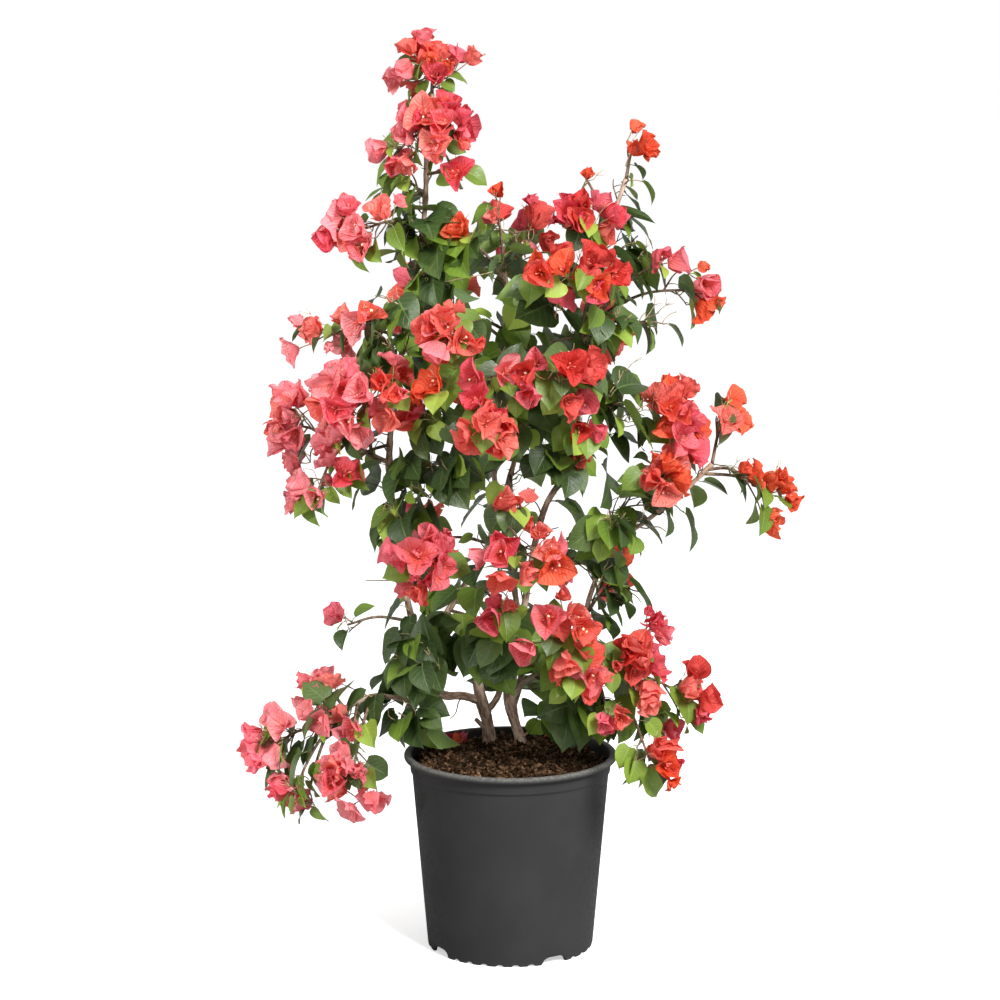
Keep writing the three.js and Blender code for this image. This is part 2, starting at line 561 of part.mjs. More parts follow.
const stalks = MASSES.map((spec) => growStalk(spec, limbs.get(spec.limb)));
const limbGuards = [...limbs.values()].map((limb) => boxed(limb.guard));
const stalkGuards = stalks.map((stalk) => boxed(stalk.guard));
MASSES.forEach((spec, number) => {
  const guards = [...limbGuards, ...stalkGuards.filter((_, other) => other !== number)];
  const solid = growMass(spec, number, stalks[number], guards);
  bush.add(meshOf(solid, spec.name, spec.blooms ? 'bloom' : 'leaf'));
});

export default bush;
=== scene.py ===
"""Bougainvillea bush in its nursery pot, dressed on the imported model.

Lengths are in millimetres while a piece is worked out, and in metres once it is a mesh. +Z is up, the
bush's front faces -Y, and the origin is the centre of the pot's underside. Trunks, boughs, stalks and twigs
follow the rule that the solids grow by, and go on from there to petioles, leaves, flower stalks and bracts.
"""

import json
import logging
import math
from dataclasses import dataclass, field, replace
from enum import Enum

import bpy
import numpy as np
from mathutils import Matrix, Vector, kdtree, noise

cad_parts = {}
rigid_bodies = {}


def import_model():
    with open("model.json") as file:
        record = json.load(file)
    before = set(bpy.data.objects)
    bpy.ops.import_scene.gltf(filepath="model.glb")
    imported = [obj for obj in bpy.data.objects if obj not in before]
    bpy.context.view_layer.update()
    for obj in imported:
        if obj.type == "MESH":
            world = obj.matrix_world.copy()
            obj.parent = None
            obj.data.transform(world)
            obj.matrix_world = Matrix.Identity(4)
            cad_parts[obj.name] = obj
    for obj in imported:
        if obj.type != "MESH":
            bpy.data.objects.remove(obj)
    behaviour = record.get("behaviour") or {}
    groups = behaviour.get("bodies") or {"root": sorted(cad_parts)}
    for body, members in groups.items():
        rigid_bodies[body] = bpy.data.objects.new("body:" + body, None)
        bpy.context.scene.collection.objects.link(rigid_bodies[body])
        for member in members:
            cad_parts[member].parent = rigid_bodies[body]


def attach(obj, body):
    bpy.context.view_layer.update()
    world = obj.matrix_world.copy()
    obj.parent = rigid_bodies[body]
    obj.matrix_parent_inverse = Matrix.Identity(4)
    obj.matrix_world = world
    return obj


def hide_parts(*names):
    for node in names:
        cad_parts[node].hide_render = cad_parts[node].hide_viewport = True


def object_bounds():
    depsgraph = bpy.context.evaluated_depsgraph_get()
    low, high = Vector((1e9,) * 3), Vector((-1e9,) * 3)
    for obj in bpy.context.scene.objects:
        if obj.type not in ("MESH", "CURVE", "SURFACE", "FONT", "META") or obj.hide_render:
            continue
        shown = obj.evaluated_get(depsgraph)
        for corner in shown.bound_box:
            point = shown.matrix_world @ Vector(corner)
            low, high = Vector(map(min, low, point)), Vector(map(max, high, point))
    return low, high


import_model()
CAD_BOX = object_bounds()

log = logging.getLogger("bush")

Array = np.ndarray
Colour = tuple[float, float, float]
Socket = bpy.types.NodeSocket
Surface = tuple[Array, list[Array]]

MM = 0.001
UP = np.array([0.0, 0.0, 1.0])

# The golden angle, by which twigs turn round their stalk.
GOLDEN = math.pi * (3 - math.sqrt(5))

# How far leaves and blooms may stand past the box of the solids.
SPILL = 14
CROWN_LOW = np.array(CAD_BOX[0]) / MM - SPILL
CROWN_HIGH = np.array(CAD_BOX[1]) / MM + SPILL

# The top of the potting mix, the sunk cut of a trunk under it, and the top of its straight collar.
MIX_TOP = 258.0
SUNK = MIX_TOP - 14
COLLAR = MIX_TOP + 4

# The crown's axis, which stands behind the pot's, and how far below a mass its leaves spread from.
AXIS_DEPTH = 30.0
AXIS_DROP = 40.0

# The seeds of the draws for the limbs, the litter and the two lots of fallen bracts. A mass's seeds follow
# its number: how many it has, and which of them is its stalk's.
LIMB_SEED = 9000
LITTER_SEED = 4100
CLUSTER_SEED = 77
SINGLES_SEED = 78
MASS_SEEDS = 100
STALK_SEED = 60

# Every limb: its name, its radius at the foot and the tip, how much a trunk's foot flares, and its route.
LIMBS = (
    ("trunk_left", 8, 6.4, 4, (
        (-26, 56, SUNK), (-28, 56, COLLAR), (-31, 55, 288), (-39, 54, 318), (-44, 53, 344))),
    ("trunk_right", 6.4, 5.4, 3, (
        (18, 64, SUNK), (13, 64, COLLAR), (5, 62, 288), (-1, 60, 314), (-3, 58, 336))),
    ("bough_left_cross", 5.6, 4.6, 0, ((-38, 54, 314), (-62, 50, 323), (-86, 43, 325), (-110, 30, 338))),
    ("stem_left_tall", 4.6, 2.7, 0, (
        (-109, 31, 337), (-118, 25, 384), (-136, 25, 462), (-152, 30, 560), (-158, 30, 650), (-146, 25, 752),
        (-128, 20, 856), (-111, 15, 960), (-106, 8, 1066), (-100, 4, 1118))),
    ("stem_left_inner", 3.8, 2.7, 0, (
        (-119, 25, 388), (-100, 12, 418), (-68, 2, 470), (-34, 18, 524), (-10, 28, 590), (13, 40, 680),
        (14, 46, 760), (0, 46, 840), (-8, 42, 888))),
    ("bough_left_mid", 3.4, 2.7, 0, ((-158, 30, 640), (-178, 20, 650), (-206, 8, 668), (-236, -6, 676))),
    ("bough_low_left", 3.6, 2.7, 0, (
        (-90, 41, 326), (-116, 14, 322), (-152, -12, 336), (-184, -28, 340), (-216, -38, 326),
        (-246, -44, 304))),
    ("stem_right_tall", 4.8, 2.7, 0, (
        (-3, 58, 330), (9, 60, 384), (20, 60, 452), (34, 50, 536), (48, 45, 584), (70, 40, 622),
        (84, 40, 672), (88, 35, 750), (96, 30, 830), (112, 30, 906), (134, 30, 968), (148, 30, 1008))),
    ("bough_right_low", 4.4, 2.7, 0, (
        (-1, 60, 312), (20, 54, 342), (48, 42, 356), (90, 18, 364), (132, -18, 366))),
    ("stem_right_outer", 3.6, 2.7, 0, (
        (70, 30, 361), (92, 38, 412), (108, 40, 470), (134, 32, 530), (178, 25, 564), (232, 20, 610),
        (262, 18, 640))),
    ("stem_back", 4.2, 2.7, 0, (
        (2, 61, 298), (14, 84, 338), (12, 104, 410), (-6, 116, 520), (-24, 120, 640), (-12, 112, 760),
        (4, 100, 860), (8, 92, 900))),
)

# The limbs with old bark from foot to tip; the others grow greener towards their tips.
OLD_LIMBS = ("trunk_left", "trunk_right", "bough_left_cross", "stem_right_tall")

# Short stubs and a side shoot low on the trunks: foot and tip radius, and route.
STUBS = (
    (4.6, 3.9, ((-34, 55, 300), (-25, 52, 309), (-17, 51, 321), (-13, 50, 333))),
    (3.6, 2.6, ((-30, 54, 274), (-39, 50, 284), (-46, 47, 292))),
    (1.9, 1.0, ((12, 62, 262), (22, 56, 270), (33, 52, 279), (44, 50, 284))),
)

# Every mass: its limb and the place along it (0 foot, 1 tip) that its stalk leaves, its centre, its reach
# along x, y and z, its twigs, how many of them bloom, the hues of its spray (p pink, r rose, c coral,
# o orange, d deep red, and y for a young bloom, partly closed), and how many more blooms or leafy side twigs
# each twig forks into.
MASSES = (
    ("bloom_crest_top", "stem_left_tall", 1, (-99, 0, 1150), (60, 48, 44), 6, 6, "rppcry", 2),
    ("bloom_crest_low", "stem_left_tall", 0.9, (-92, -30, 1066), (60, 44, 58), 7, 7, "pcprcr", 2),
    ("bloom_shoulder", "stem_left_tall", 0.78, (-183, -50, 952), (68, 44, 48), 7, 7, "cpprcp", 1),
    ("bloom_top_middle", "stem_left_inner", 1, (-17, 20, 968), (34, 32, 40), 2, 2, "cy", 0),
    ("bloom_right_crest", "stem_right_tall", 0.86, (87, -50, 960), (62, 44, 44), 7, 7, "rdrcrp", 1),
    ("bloom_right_tip", "stem_right_tall", 1, (156, 28, 1048), (44, 36, 44), 3, 3, "yoy", 0),
    ("bloom_right_upper", "stem_right_tall", 0.78, (83, -125, 900), (74, 44, 42), 7, 7, "odcrdo", 1),
    ("bloom_right_high", "stem_right_tall", 0.72, (232, 16, 868), (52, 46, 58), 5, 4, "pcoy", 0),
    ("bloom_left_high", "stem_left_tall", 0.6, (-228, -4, 812), (80, 48, 46), 7, 7, "ppcp", 0),
    ("bloom_left_big", "bough_left_mid", 0.3, (-182, -115, 744), (78, 54, 58), 9, 9, "cpppcr", 2),
    ("bloom_left_outer", "bough_left_mid", 1, (-273, -6, 694), (46, 46, 72), 6, 6, "ppcp", 1),
    ("bloom_left_lower", "bough_left_mid", 0.72, (-246, -80, 619), (46, 40, 38), 4, 3, "pp", 1),
    ("bloom_centre_top", "stem_left_inner", 0.84, (-77, -140, 825), (44, 44, 46), 5, 5, "ccp", 1),
    ("bloom_centre", "stem_left_inner", 0.62, (-26, -180, 725), (52, 44, 50), 6, 6, "ccor", 1),
    ("bloom_centre_right", "stem_right_tall", 0.62, (57, -160, 771), (62, 44, 56), 7, 7, "cdcrd", 0),
    ("bloom_right_middle", "stem_right_outer", 0.88, (206, 2, 686), (50, 50, 78), 8, 7, "cocrc", 2),
    ("bloom_right_arch", "stem_right_outer", 1, (276, 26, 702), (46, 40, 40), 4, 3, "cocy", 1),
    ("bloom_right_far", "stem_right_outer", 0.95, (334, -4, 606), (52, 42, 56), 6, 5, "oyo", 0),
    ("bloom_left_breast", "stem_left_tall", 0.26, (-108, -140, 534), (54, 46, 50), 6, 6, "rcprr", 2),
    ("bloom_centre_low", "stem_left_inner", 0.36, (19, -175, 555), (68, 44, 48), 7, 7, "cpcro", 1),
    ("bloom_apron", "bough_right_low", 0.5, (57, -180, 454), (62, 44, 58), 7, 7, "cpyc", 0),
    ("bloom_right_low", "bough_right_low", 0.86, (158, -120, 396), (46, 46, 62), 7, 7, "cdrc", 1),
    ("bloom_right_skirt", "bough_right_low", 1, (225, -70, 351), (44, 44, 54), 6, 5, "cdcr", 0),
    ("bloom_right_drop", "bough_right_low", 0.95, (177, -130, 281), (50, 42, 42), 5, 4, "cocr", 0),
    ("bloom_left_tip", "bough_low_left", 1, (-303, -52, 284), (48, 46, 60), 7, 6, "pprp", 1),
    ("bloom_left_low", "bough_low_left", 0.8, (-246, -10, 348), (44, 42, 42), 4, 4, "ppc", 1),
    ("bloom_left_fall", "bough_low_left", 0.6, (-203, -110, 255), (52, 44, 56), 6, 6, "ppcp", 2),
    ("bloom_left_small", "stem_left_tall", 0.12, (-214, 30, 424), (40, 36, 38), 2, 1, "rr", 0),
    ("bloom_back_top", "stem_back", 1, (6, 122, 936), (60, 50, 50), 6, 6, "crpd", 0),
    ("bloom_back_left", "stem_back", 0.82, (-108, 156, 838), (62, 52, 58), 7, 6, "pccr", 1),
    ("bloom_back_right", "stem_back", 0.74, (112, 158, 792), (62, 52, 60), 7, 6, "codc", 1),
    ("bloom_back_middle", "stem_back", 0.56, (-16, 212, 690), (66, 50, 60), 7, 6, "cpcr", 1),
    ("bloom_back_low_left", "stem_back", 0.36, (-120, 160, 508), (62, 52, 58), 7, 6, "prcp", 1),
    ("bloom_back_low_right", "stem_back", 0.28, (116, 164, 488), (62, 52, 60), 7, 6, "cocd", 1),
    ("leaves_crest", "stem_left_tall", 0.83, (-139, 30, 1010), (52, 52, 52), 5, 0, "r", 0),
    ("leaves_shoulder", "stem_left_tall", 0.7, (-72, 8, 896), (66, 66, 60), 5, 0, "c", 0),
    ("leaves_right_top", "stem_right_tall", 0.8, (158, 40, 908), (52, 56, 58), 5, 0, "o", 0),
    ("leaves_top", "stem_right_tall", 0.7, (39, -40, 863), (56, 66, 54), 5, 0, "d", 0),
    ("leaves_left_middle", "stem_left_tall", 0.5, (-146, -30, 796), (58, 60, 56), 6, 0, "c", 1),
    ("leaves_centre", "stem_left_inner", 0.66, (-8, -50, 726), (66, 78, 80), 6, 0, "d", 2),
    ("leaves_right_middle", "stem_right_tall", 0.56, (140, 10, 720), (54, 74, 76), 6, 0, "c", 1),
    ("leaves_left_low", "stem_left_tall", 0.34, (-111, -20, 612), (66, 76, 70), 5, 0, "c", 2),
    ("leaves_right_low", "stem_right_outer", 0.5, (146, 8, 588), (66, 72, 60), 6, 0, "o", 1),
    ("leaves_skirt_right", "stem_right_outer", 0.22, (134, 26, 478), (64, 66, 54), 5, 0, "c", 1),
    ("leaves_skirt_left", "stem_left_tall", 0.06, (-104, -50, 403), (62, 62, 60), 5, 0, "r", 1),
    ("leaves_middle_low", "stem_left_inner", 0.14, (-10, -62, 420), (56, 60, 60), 5, 0, "c", 2),
    ("leaves_foot", "bough_right_low", 0.3, (83, -42, 322), (68, 58, 44), 5, 0, "c", 1),
)

# Finer sprays that stand between the masses, and the solid that each is counted with, by the same columns.
FILLING = (
    ("leaves_left_middle", "stem_left_tall", 0.47, (-100, -70, 708), (52, 50, 46), 6, 2, "cr", 1),
    ("leaves_shoulder", "stem_left_inner", 0.97, (-58, -6, 934), (44, 40, 36), 4, 1, "o", 0),
    ("leaves_centre", "stem_right_tall", 0.42, (62, -30, 652), (50, 50, 44), 5, 1, "c", 0),
    ("bloom_apron", "bough_right_low", 0.62, (79, -165, 400), (44, 38, 38), 4, 4, "cpc", 1),
    ("bloom_left_fall", "bough_low_left", 0.8, (-280, -85, 228), (38, 34, 32), 4, 4, "ppr", 0),
    ("bloom_right_high", "stem_right_tall", 0.7, (194, -20, 909), (36, 34, 30), 2, 2, "ppr", 0),
    ("bloom_centre_right", "stem_right_tall", 0.58, (86, -120, 770), (40, 40, 44), 3, 3, "cdr", 0),
    ("bloom_crest_low", "stem_left_tall", 0.87, (-69, -20, 1013), (34, 32, 32), 3, 3, "pr", 0),
    ("bloom_left_high", "stem_left_tall", 0.62, (-184, -40, 832), (34, 30, 30), 3, 3, "pc", 0),
    ("bloom_right_crest", "stem_right_tall", 0.9, (96, 10, 1011), (30, 28, 30), 1, 1, "y", 0),
    ("bloom_centre", "stem_left_inner", 0.74, (-17, -150, 775), (44, 36, 38), 3, 3, "cpr", 0),
    ("bloom_centre_top", "stem_left_inner", 0.78, (-92, -130, 757), (36, 34, 34), 3, 2, "oc", 0),
    ("bloom_right_middle", "stem_right_outer", 0.8, (183, -5, 639), (40, 38, 36), 4, 3, "oc", 1),
    ("leaves_left_low", "stem_left_tall", 0.38, (-75, -45, 636), (46, 44, 42), 5, 0, "c", 1),
    ("bloom_left_fall", "bough_low_left", 0.7, (-203, -50, 310), (40, 36, 34), 4, 3, "pc", 0),
    ("bloom_right_low", "bough_right_low", 0.8, (124, -120, 338), (34, 32, 30), 3, 3, "rc", 0),
    ("leaves_skirt_left", "bough_low_left", 0.3, (-125, -40, 310), (50, 44, 36), 5, 0, "r", 1),
    ("bloom_right_drop", "bough_right_low", 1, (183, -50, 310), (42, 40, 36), 5, 1, "r", 0),
    ("bloom_crest_low", "stem_left_tall", 0.94, (-143, -25, 1046), (40, 34, 32), 4, 4, "ppr", 1),
    ("leaves_shoulder", "stem_left_tall", 0.76, (-111, 0, 941), (46, 44, 42), 5, 0, "c", 1),
    ("bloom_left_lower", "stem_left_tall", 0.42, (-211, -50, 638), (44, 38, 36), 4, 2, "rp", 1),
    ("bloom_right_middle", "stem_right_outer", 0.84, (191, -40, 631), (42, 38, 38), 5, 5, "coc", 1),
    ("bloom_right_far", "stem_right_outer", 0.97, (300, 0, 630), (34, 32, 30), 2, 2, "oyo", 0),
    ("bloom_right_low", "bough_right_low", 0.72, (120, -135, 398), (34, 32, 28), 3, 3, "coc", 0),
    ("bloom_right_low", "bough_right_low", 0.9, (179, -70, 439), (30, 30, 34), 3, 3, "rrp", 1),
    ("bloom_left_small", "bough_low_left", 0.9, (-266, -60, 203), (36, 34, 32), 2, 2, "pp", 0),
    ("bloom_apron", "stem_left_inner", 0.2, (-10, -140, 476), (34, 32, 32), 3, 2, "drc", 0),
    ("leaves_right_top", "stem_right_tall", 0.68, (182, 10, 826), (44, 40, 38), 5, 0, "c", 0),
    ("bloom_left_outer", "bough_left_mid", 0.6, (-218, -50, 687), (38, 34, 36), 4, 3, "pcp", 1),
    ("bloom_left_low", "bough_low_left", 0.86, (-248, -70, 325), (40, 34, 30), 3, 3, "pp", 0),
    ("bloom_centre_low", "stem_left_inner", 0.5, (2, -60, 591), (40, 36, 40), 4, 3, "crc", 1),
    ("bloom_centre_right", "stem_right_tall", 0.56, (88, -80, 697), (38, 34, 34), 4, 2, "rd", 0),
    ("leaves_right_middle", "stem_right_tall", 0.66, (116, -50, 831), (46, 40, 40), 6, 0, "c", 1),
    ("leaves_left_middle", "stem_left_tall", 0.58, (-136, -20, 838), (44, 40, 38), 5, 0, "c", 0),
    ("leaves_right_low", "stem_right_outer", 0.4, (118, -30, 564), (44, 40, 38), 5, 0, "c", 0),
    ("leaves_left_low", "stem_left_tall", 0.26, (-140, -40, 574), (42, 40, 38), 5, 0, "c", 0),
    ("bloom_right_upper", "stem_right_tall", 0.78, (120, -60, 888), (34, 32, 32), 3, 2, "drd", 0),
)

# Where bracts have fallen on the potting mix: a cluster of one hue, and two single ones of another.
FALLEN_CLUSTER = (
    (-84, 62), (-76, 70), (-90, 72), (-72, 60), (-80, 80), (-68, 74), (-86, 84), (-74, 88), (-64, 62))
FALLEN_SINGLES = ((-70, 50), (58, 84))


class Hue(Enum):
    """The hues of the bracts, by the letter that the table of masses gives them."""

    PINK = "p"
    ROSE = "r"
    CORAL = "c"
    ORANGE = "o"
    DEEP = "d"


class Age(Enum):
    """The ages of a leaf, which set its colour, by the letter that a choice of ages gives them."""

    OLD = "o"
    GROWN = "g"
    YOUNG = "y"


def unit(vector: Array) -> Array:
    """Return the vector, one unit long."""
    return vector / np.linalg.norm(vector)


def ease(low: float, high: float, value: Array | float) -> Array | float:
    """Rise smoothly from 0 at low to 1 at high.

    Args:
        low: Where the rise starts.
        high: Where it ends.
        value: The value or values to look up.

    Returns:
        The height of the rise at each value.
    """
    t = np.clip((value - low) / (high - low), 0, 1)
    return t * t * (3 - 2 * t)


def frame_at(along: Array, facing: Array) -> Array:
    """Work out the axes of a piece.

    Args:
        along: The direction of the piece's +Y.
        facing: The direction that its +Z turns towards.

    Returns:
        The x, y and z axes as the rows of a matrix.
    """
    y = unit(along)
    x = unit(np.cross(y, facing))
    return np.array([x, y, np.cross(x, y)])


class Draws:
    """Seeded draws between 0 and 1, by the rule of the solids."""

    word = 0xFFFFFFFF
    step = 0x6D2B79F5

    def __init__(self, seed: int) -> None:
        """Start from a seed.

        Args:
            seed: A whole number; the same one gives the same draws.
        """
        self.state = seed & self.word

    def draw(self) -> float:
        """Take the next draw.

        Returns:
            A number from 0 up to 1.
        """
        self.state = (self.state + self.step) & self.word
        s = self.state
        t = ((s ^ (s >> 15)) * (s | 1)) & self.word
        t ^= (t + ((t ^ (t >> 7)) * (t | 61) & self.word)) & self.word
        return (t ^ (t >> 14)) / (self.word + 1)

    def between(self, low: float, high: float) -> float:
        """Return a draw from low up to high."""
        return low + (high - low) * self.draw()

    def shaken(self, amount: float) -> Array:
        """Return a vector whose parts are drawn within half of amount of zero."""
        return np.array([self.draw() - 0.5, self.draw() - 0.5, self.draw() - 0.5]) * amount

    def pick(self, options: str) -> str:
        """Return one of the options."""
        return options[int(self.draw() * len(options))]


class Course:
    """A smooth line through points, measured along its length."""

    samples = 24
    probe = 0.6

    def __init__(self, points: list[Array] | tuple) -> None:
        """Lay the line.

        Args:
            points: The points that it passes through, in order.
        """
        p = np.asarray(points, float)
        p = np.vstack([2 * p[0] - p[1], p, 2 * p[-1] - p[-2]])
        s = np.linspace(0, 1, self.samples + 1)[:, None]
        stretches = [p[1:2]]
        for a, b, c, d in zip(p, p[1:], p[2:], p[3:]):
            before, here, after = (float(step @ step) ** 0.25 for step in (b - a, c - b, d - c))
            leave = ((b - a) / before - (c - a) / (before + here) + (c - b) / here) * here
            arrive = ((c - b) / here - (d - b) / (here + after) + (d - c) / after) * here
            square, cube = 3 * (c - b) - 2 * leave - arrive, 2 * (b - c) + leave + arrive
            stretches.append((b + leave * s + square * s**2 + cube * s**3)[1:])
        self.path = np.vstack(stretches)
        self.run = np.concatenate([[0], np.cumsum(np.linalg.norm(np.diff(self.path, axis=0), axis=1))])
        self.length = float(self.run[-1])

    def at(self, t: Array | float) -> Array:
        """Return the point or points at a share of the length."""
        return np.stack([np.interp(np.asarray(t) * self.length, self.run, axis) for axis in self.path.T], -1)

    def tangent(self, t: float) -> Array:
        """Return the direction at a share of the length."""
        step = self.probe / self.length
        return unit(self.at(min(1, t + step)) - self.at(max(0, t - step)))


def circle(turns: Array, radius: Array | float, height: Array | float) -> Array:
    """Return a ring of points about the pot's axis."""
    return np.stack(np.broadcast_arrays(radius * np.cos(turns), radius * np.sin(turns), height), -1)


def skin(rings: list[Array], foot: Array, tip: Array, down: bool = False) -> Surface:
    """Close a row of rings into one surface.

    Args:
        rings: Rings of as many points each, from the foot to the tip.
        foot: The point that closes the first ring.
        tip: The point that closes the last ring.
        down: Whether the rings run down instead of up, which turns the faces over.

    Returns:
        The surface's points and faces.
    """
    sides = len(rings[0])
    ring = np.arange(sides)
    after = (ring + 1) % sides
    starts = (np.arange(len(rings) - 1) * sides)[:, None]
    quads = np.stack([starts + ring, starts + after, starts + sides + after, starts + sides + ring], -1)
    quads = quads.reshape(-1, 4)
    last = (len(rings) - 1) * sides
    caps = np.vstack([
        np.stack([after, ring, np.full(sides, last + sides)], -1),
        np.stack([last + ring, last + after, np.full(sides, last + sides + 1)], -1)])
    if down:
        quads, caps = quads[:, [0, 3, 2, 1]], caps[:, ::-1]
    return np.vstack([*rings, foot, tip]), [quads, caps]


def swing(side: Array, axis: Array, turn: float) -> Array:
    """Return a side direction that is turned about an axis."""
    return math.cos(turn) * side + math.sin(turn) * np.cross(axis, side)


def tube(path: Array, radii: Array, sides: int) -> Surface:
    """Sweep a closed round tube along a path.

    Args:
        path: The points of its centre line.
        radii: Its radius at each point.
        sides: How many flat sides it has.

    Returns:
        The tube's points and faces.
    """
    steps = np.gradient(path, axis=0)
    steps /= np.linalg.norm(steps, axis=1)[:, None]
    side = np.cross(steps[0], UP if abs(steps[0][2]) < 0.9 else np.array([1.0, 0, 0]))
    turn = np.linspace(0, 2 * math.pi, sides, endpoint=False)[:, None]
    rings = []
    for point, step, radius in zip(path, steps, radii):
        side = unit(side - step * (side @ step))
        rings.append(point + radius * (np.cos(turn) * side + np.sin(turn) * np.cross(step, side)))
    return skin(rings, path[0], path[-1] + steps[-1] * radii[-1] * 0.5)


class Heap:
    """Surfaces of one kind, gathered up to be joined into one piece."""

    def __init__(self, name: str) -> None:
        """Start an empty heap.

        Args:
            name: The name of the piece that it becomes.
        """
        self.name = name
        self.verts: list[Array] = []
        self.faces: list[Array] = []
        self.tones: list[Array] = []
        self.maps: list[Array] = []
        self.grains: list[Array] = []
        self.size = 0

    def add(self, surface: Surface, tone: Array | float, uv: Array | None = None,
            grain: Array | None = None) -> None:
        """Add a surface.

        Args:
            surface: Its points, in millimetres, and its faces.
            tone: A value from 0 to 1 for each point, or for all of them, that its finish reads.
            uv: Each point's place across and along a blade.
            grain: Each point's place in the grain of bark or plastic.
        """
        verts, faces = surface
        self.verts.append(verts)
        self.faces.extend(face + self.size for face in faces)
        self.tones.append(np.broadcast_to(tone, len(verts)).astype(float))
        self.maps.append(np.zeros((len(verts), 2)) if uv is None else uv)
        self.grains.append(verts if grain is None else grain)
        self.size += len(verts)

    def join(self, finish: bpy.types.Material) -> bpy.types.Object:
        """Join the heap into one piece.

        Args:
            finish: The piece's material.

        Returns:
            The piece, in metres.
        """
        mesh = bpy.data.meshes.new(self.name)
        loops = np.concatenate([face.ravel() for face in self.faces]).astype(np.int32)
        sizes = np.concatenate([np.full(len(face), face.shape[1]) for face in self.faces])
        starts = np.concatenate([[0], np.cumsum(sizes)[:-1]]).astype(np.int32)
        mesh.vertices.add(self.size)
        mesh.vertices.foreach_set("co", (np.vstack(self.verts) * MM).astype(np.float32).ravel())
        mesh.loops.add(len(loops))
        mesh.loops.foreach_set("vertex_index", loops)
        mesh.polygons.add(len(sizes))
        mesh.polygons.foreach_set("loop_start", starts)
        mesh.polygons.foreach_set("use_smooth", np.ones(len(sizes), bool))
        mesh.update(calc_edges=True)
        layer = mesh.uv_layers.new(name="blade")
        layer.data.foreach_set("uv", np.vstack(self.maps)[loops].astype(np.float32).ravel())
        tone = mesh.attributes.new("tone", "FLOAT", "POINT")
        tone.data.foreach_set("value", np.concatenate(self.tones).astype(np.float32))
        grain = mesh.attributes.new("grain", "FLOAT_VECTOR", "POINT")
        grain.data.foreach_set("vector", (np.vstack(self.grains) * MM).astype(np.float32).ravel())
        mesh.validate()
        mesh.materials.append(finish)
        piece = bpy.data.objects.new(self.name, mesh)
        bpy.context.scene.collection.objects.link(piece)
        return piece

    def settle(self, finish: bpy.types.Material, slot: str, nodes: tuple | list = ()) -> None:
        """Join the heap into one piece, put it on the body and hide the solids that it stands for.

        Args:
            finish: The piece's material.
            slot: Not used.
            nodes: The solids that it stands for.
        """
        piece = self.join(finish)
        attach(piece, "root")
        if nodes:
            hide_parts(*nodes)
        log.info("%s: %d faces", piece.name, len(piece.data.polygons))


@dataclass(frozen=True)
class Bend:
    """How a blade departs from flat, in shares of its length or in radians."""

    fold: float
    curl: float
    wave: float
    ripples: float
    twist: float = 0.2
    cup: float = 0.0
    crinkle: float = 0.0
    pleat: float = 0.0


class Blade:
    """The outline of a leaf or a bract, one unit long, from its root along +Y, with its face to +Z."""

    folds = 6
    slowest, fastest = 9, 36

    def __init__(self, widths: tuple, rows: tuple, columns: int, heart: float) -> None:
        """Lay out the blade's points.

        Args:
            widths: Half of its width at places along it.
            rows: Where its rows of points stand, from 0 to 1.
            columns: How many columns of faces it has.
            heart: How far the two lobes at its base reach back.
        """
        across = np.linspace(-1, 1, columns + 1)
        inner = np.array(rows[1:-1])
        u = np.concatenate([[0], np.tile(across, len(inner)), [0]])
        v = np.concatenate([[0], np.repeat(inner, columns + 1), [1]])
        places, halves = np.array(widths).T
        self.u, self.v = u, v
        self.half = np.interp(v, places, halves)
        self.y = v - heart * np.abs(u) ** 1.6 * np.exp(-((v / 0.13) ** 2))
        self.uv = np.stack([u / 2 + 0.5, v], -1)
        i = np.arange(columns)
        starts = (1 + np.arange(len(inner)) * (columns + 1))[:, None]
        low, high = starts[:-1] + i, starts[1:] + i
        quads = np.stack([low, low + 1, high + 1, high], -1).reshape(-1, 4)
        last = starts[-1] + i
        tip = np.full(columns, len(u) - 1)
        ends = np.vstack([
            np.stack([0 * i, 2 + i, 1 + i], -1),
            np.stack([last, last + 1, tip], -1),
        ])
        self.faces = [quads, ends]

    def shape(self, length: float, width: float, bend: Bend, draws: Draws) -> Array:
        """Bend the blade into a real leaf or bract.

        Args:
            length: Its length, in millimetres.
            width: Its width over its length.
            bend: How it departs from flat.
            draws: The draws that fix its ripples.

        Returns:
            Its points, in millimetres.
        """
        u, v = self.u, self.v
        x = u * self.half * width
        phase = draws.between(0, 2 * math.pi)
        other = draws.between(0, 2 * math.pi)
        edge = np.abs(u) ** 2
        lift = bend.fold * np.abs(x) + bend.cup * x * x * 2
        lift += bend.wave * edge * np.sin(2 * math.pi * bend.ripples * v + np.where(u > 0, phase, other))
        if bend.crinkle:
            for _ in range(self.folds):
                angle, speed = draws.between(0, math.pi), draws.between(self.slowest, self.fastest)
                run = speed * (x * math.cos(angle) + v * math.sin(angle)) + draws.between(0, 6.3)
                lift += bend.crinkle * (0.3 + edge * 0.7 + 0.3 * v) * np.sin(run) * 6 / (speed + 4)
        lift += bend.pleat * np.cos(4 * math.pi * u) * ease(0.02, 0.3, v) * (1 - 0.6 * v)
        lift *= ease(0, 0.06, v)
        turn = bend.twist * v
        x, lift = x * np.cos(turn) - lift * np.sin(turn), x * np.sin(turn) + lift * np.cos(turn)
        curl = bend.curl if abs(bend.curl) > 1e-3 else 1e-3
        angle = curl * v
        back = self.y - v
        y = np.sin(angle) / curl + back * np.cos(angle) + lift * np.sin(angle)
        z = (np.cos(angle) - 1) / curl - back * np.sin(angle) + lift * np.cos(angle)
        return np.stack([x, y, z], -1) * length


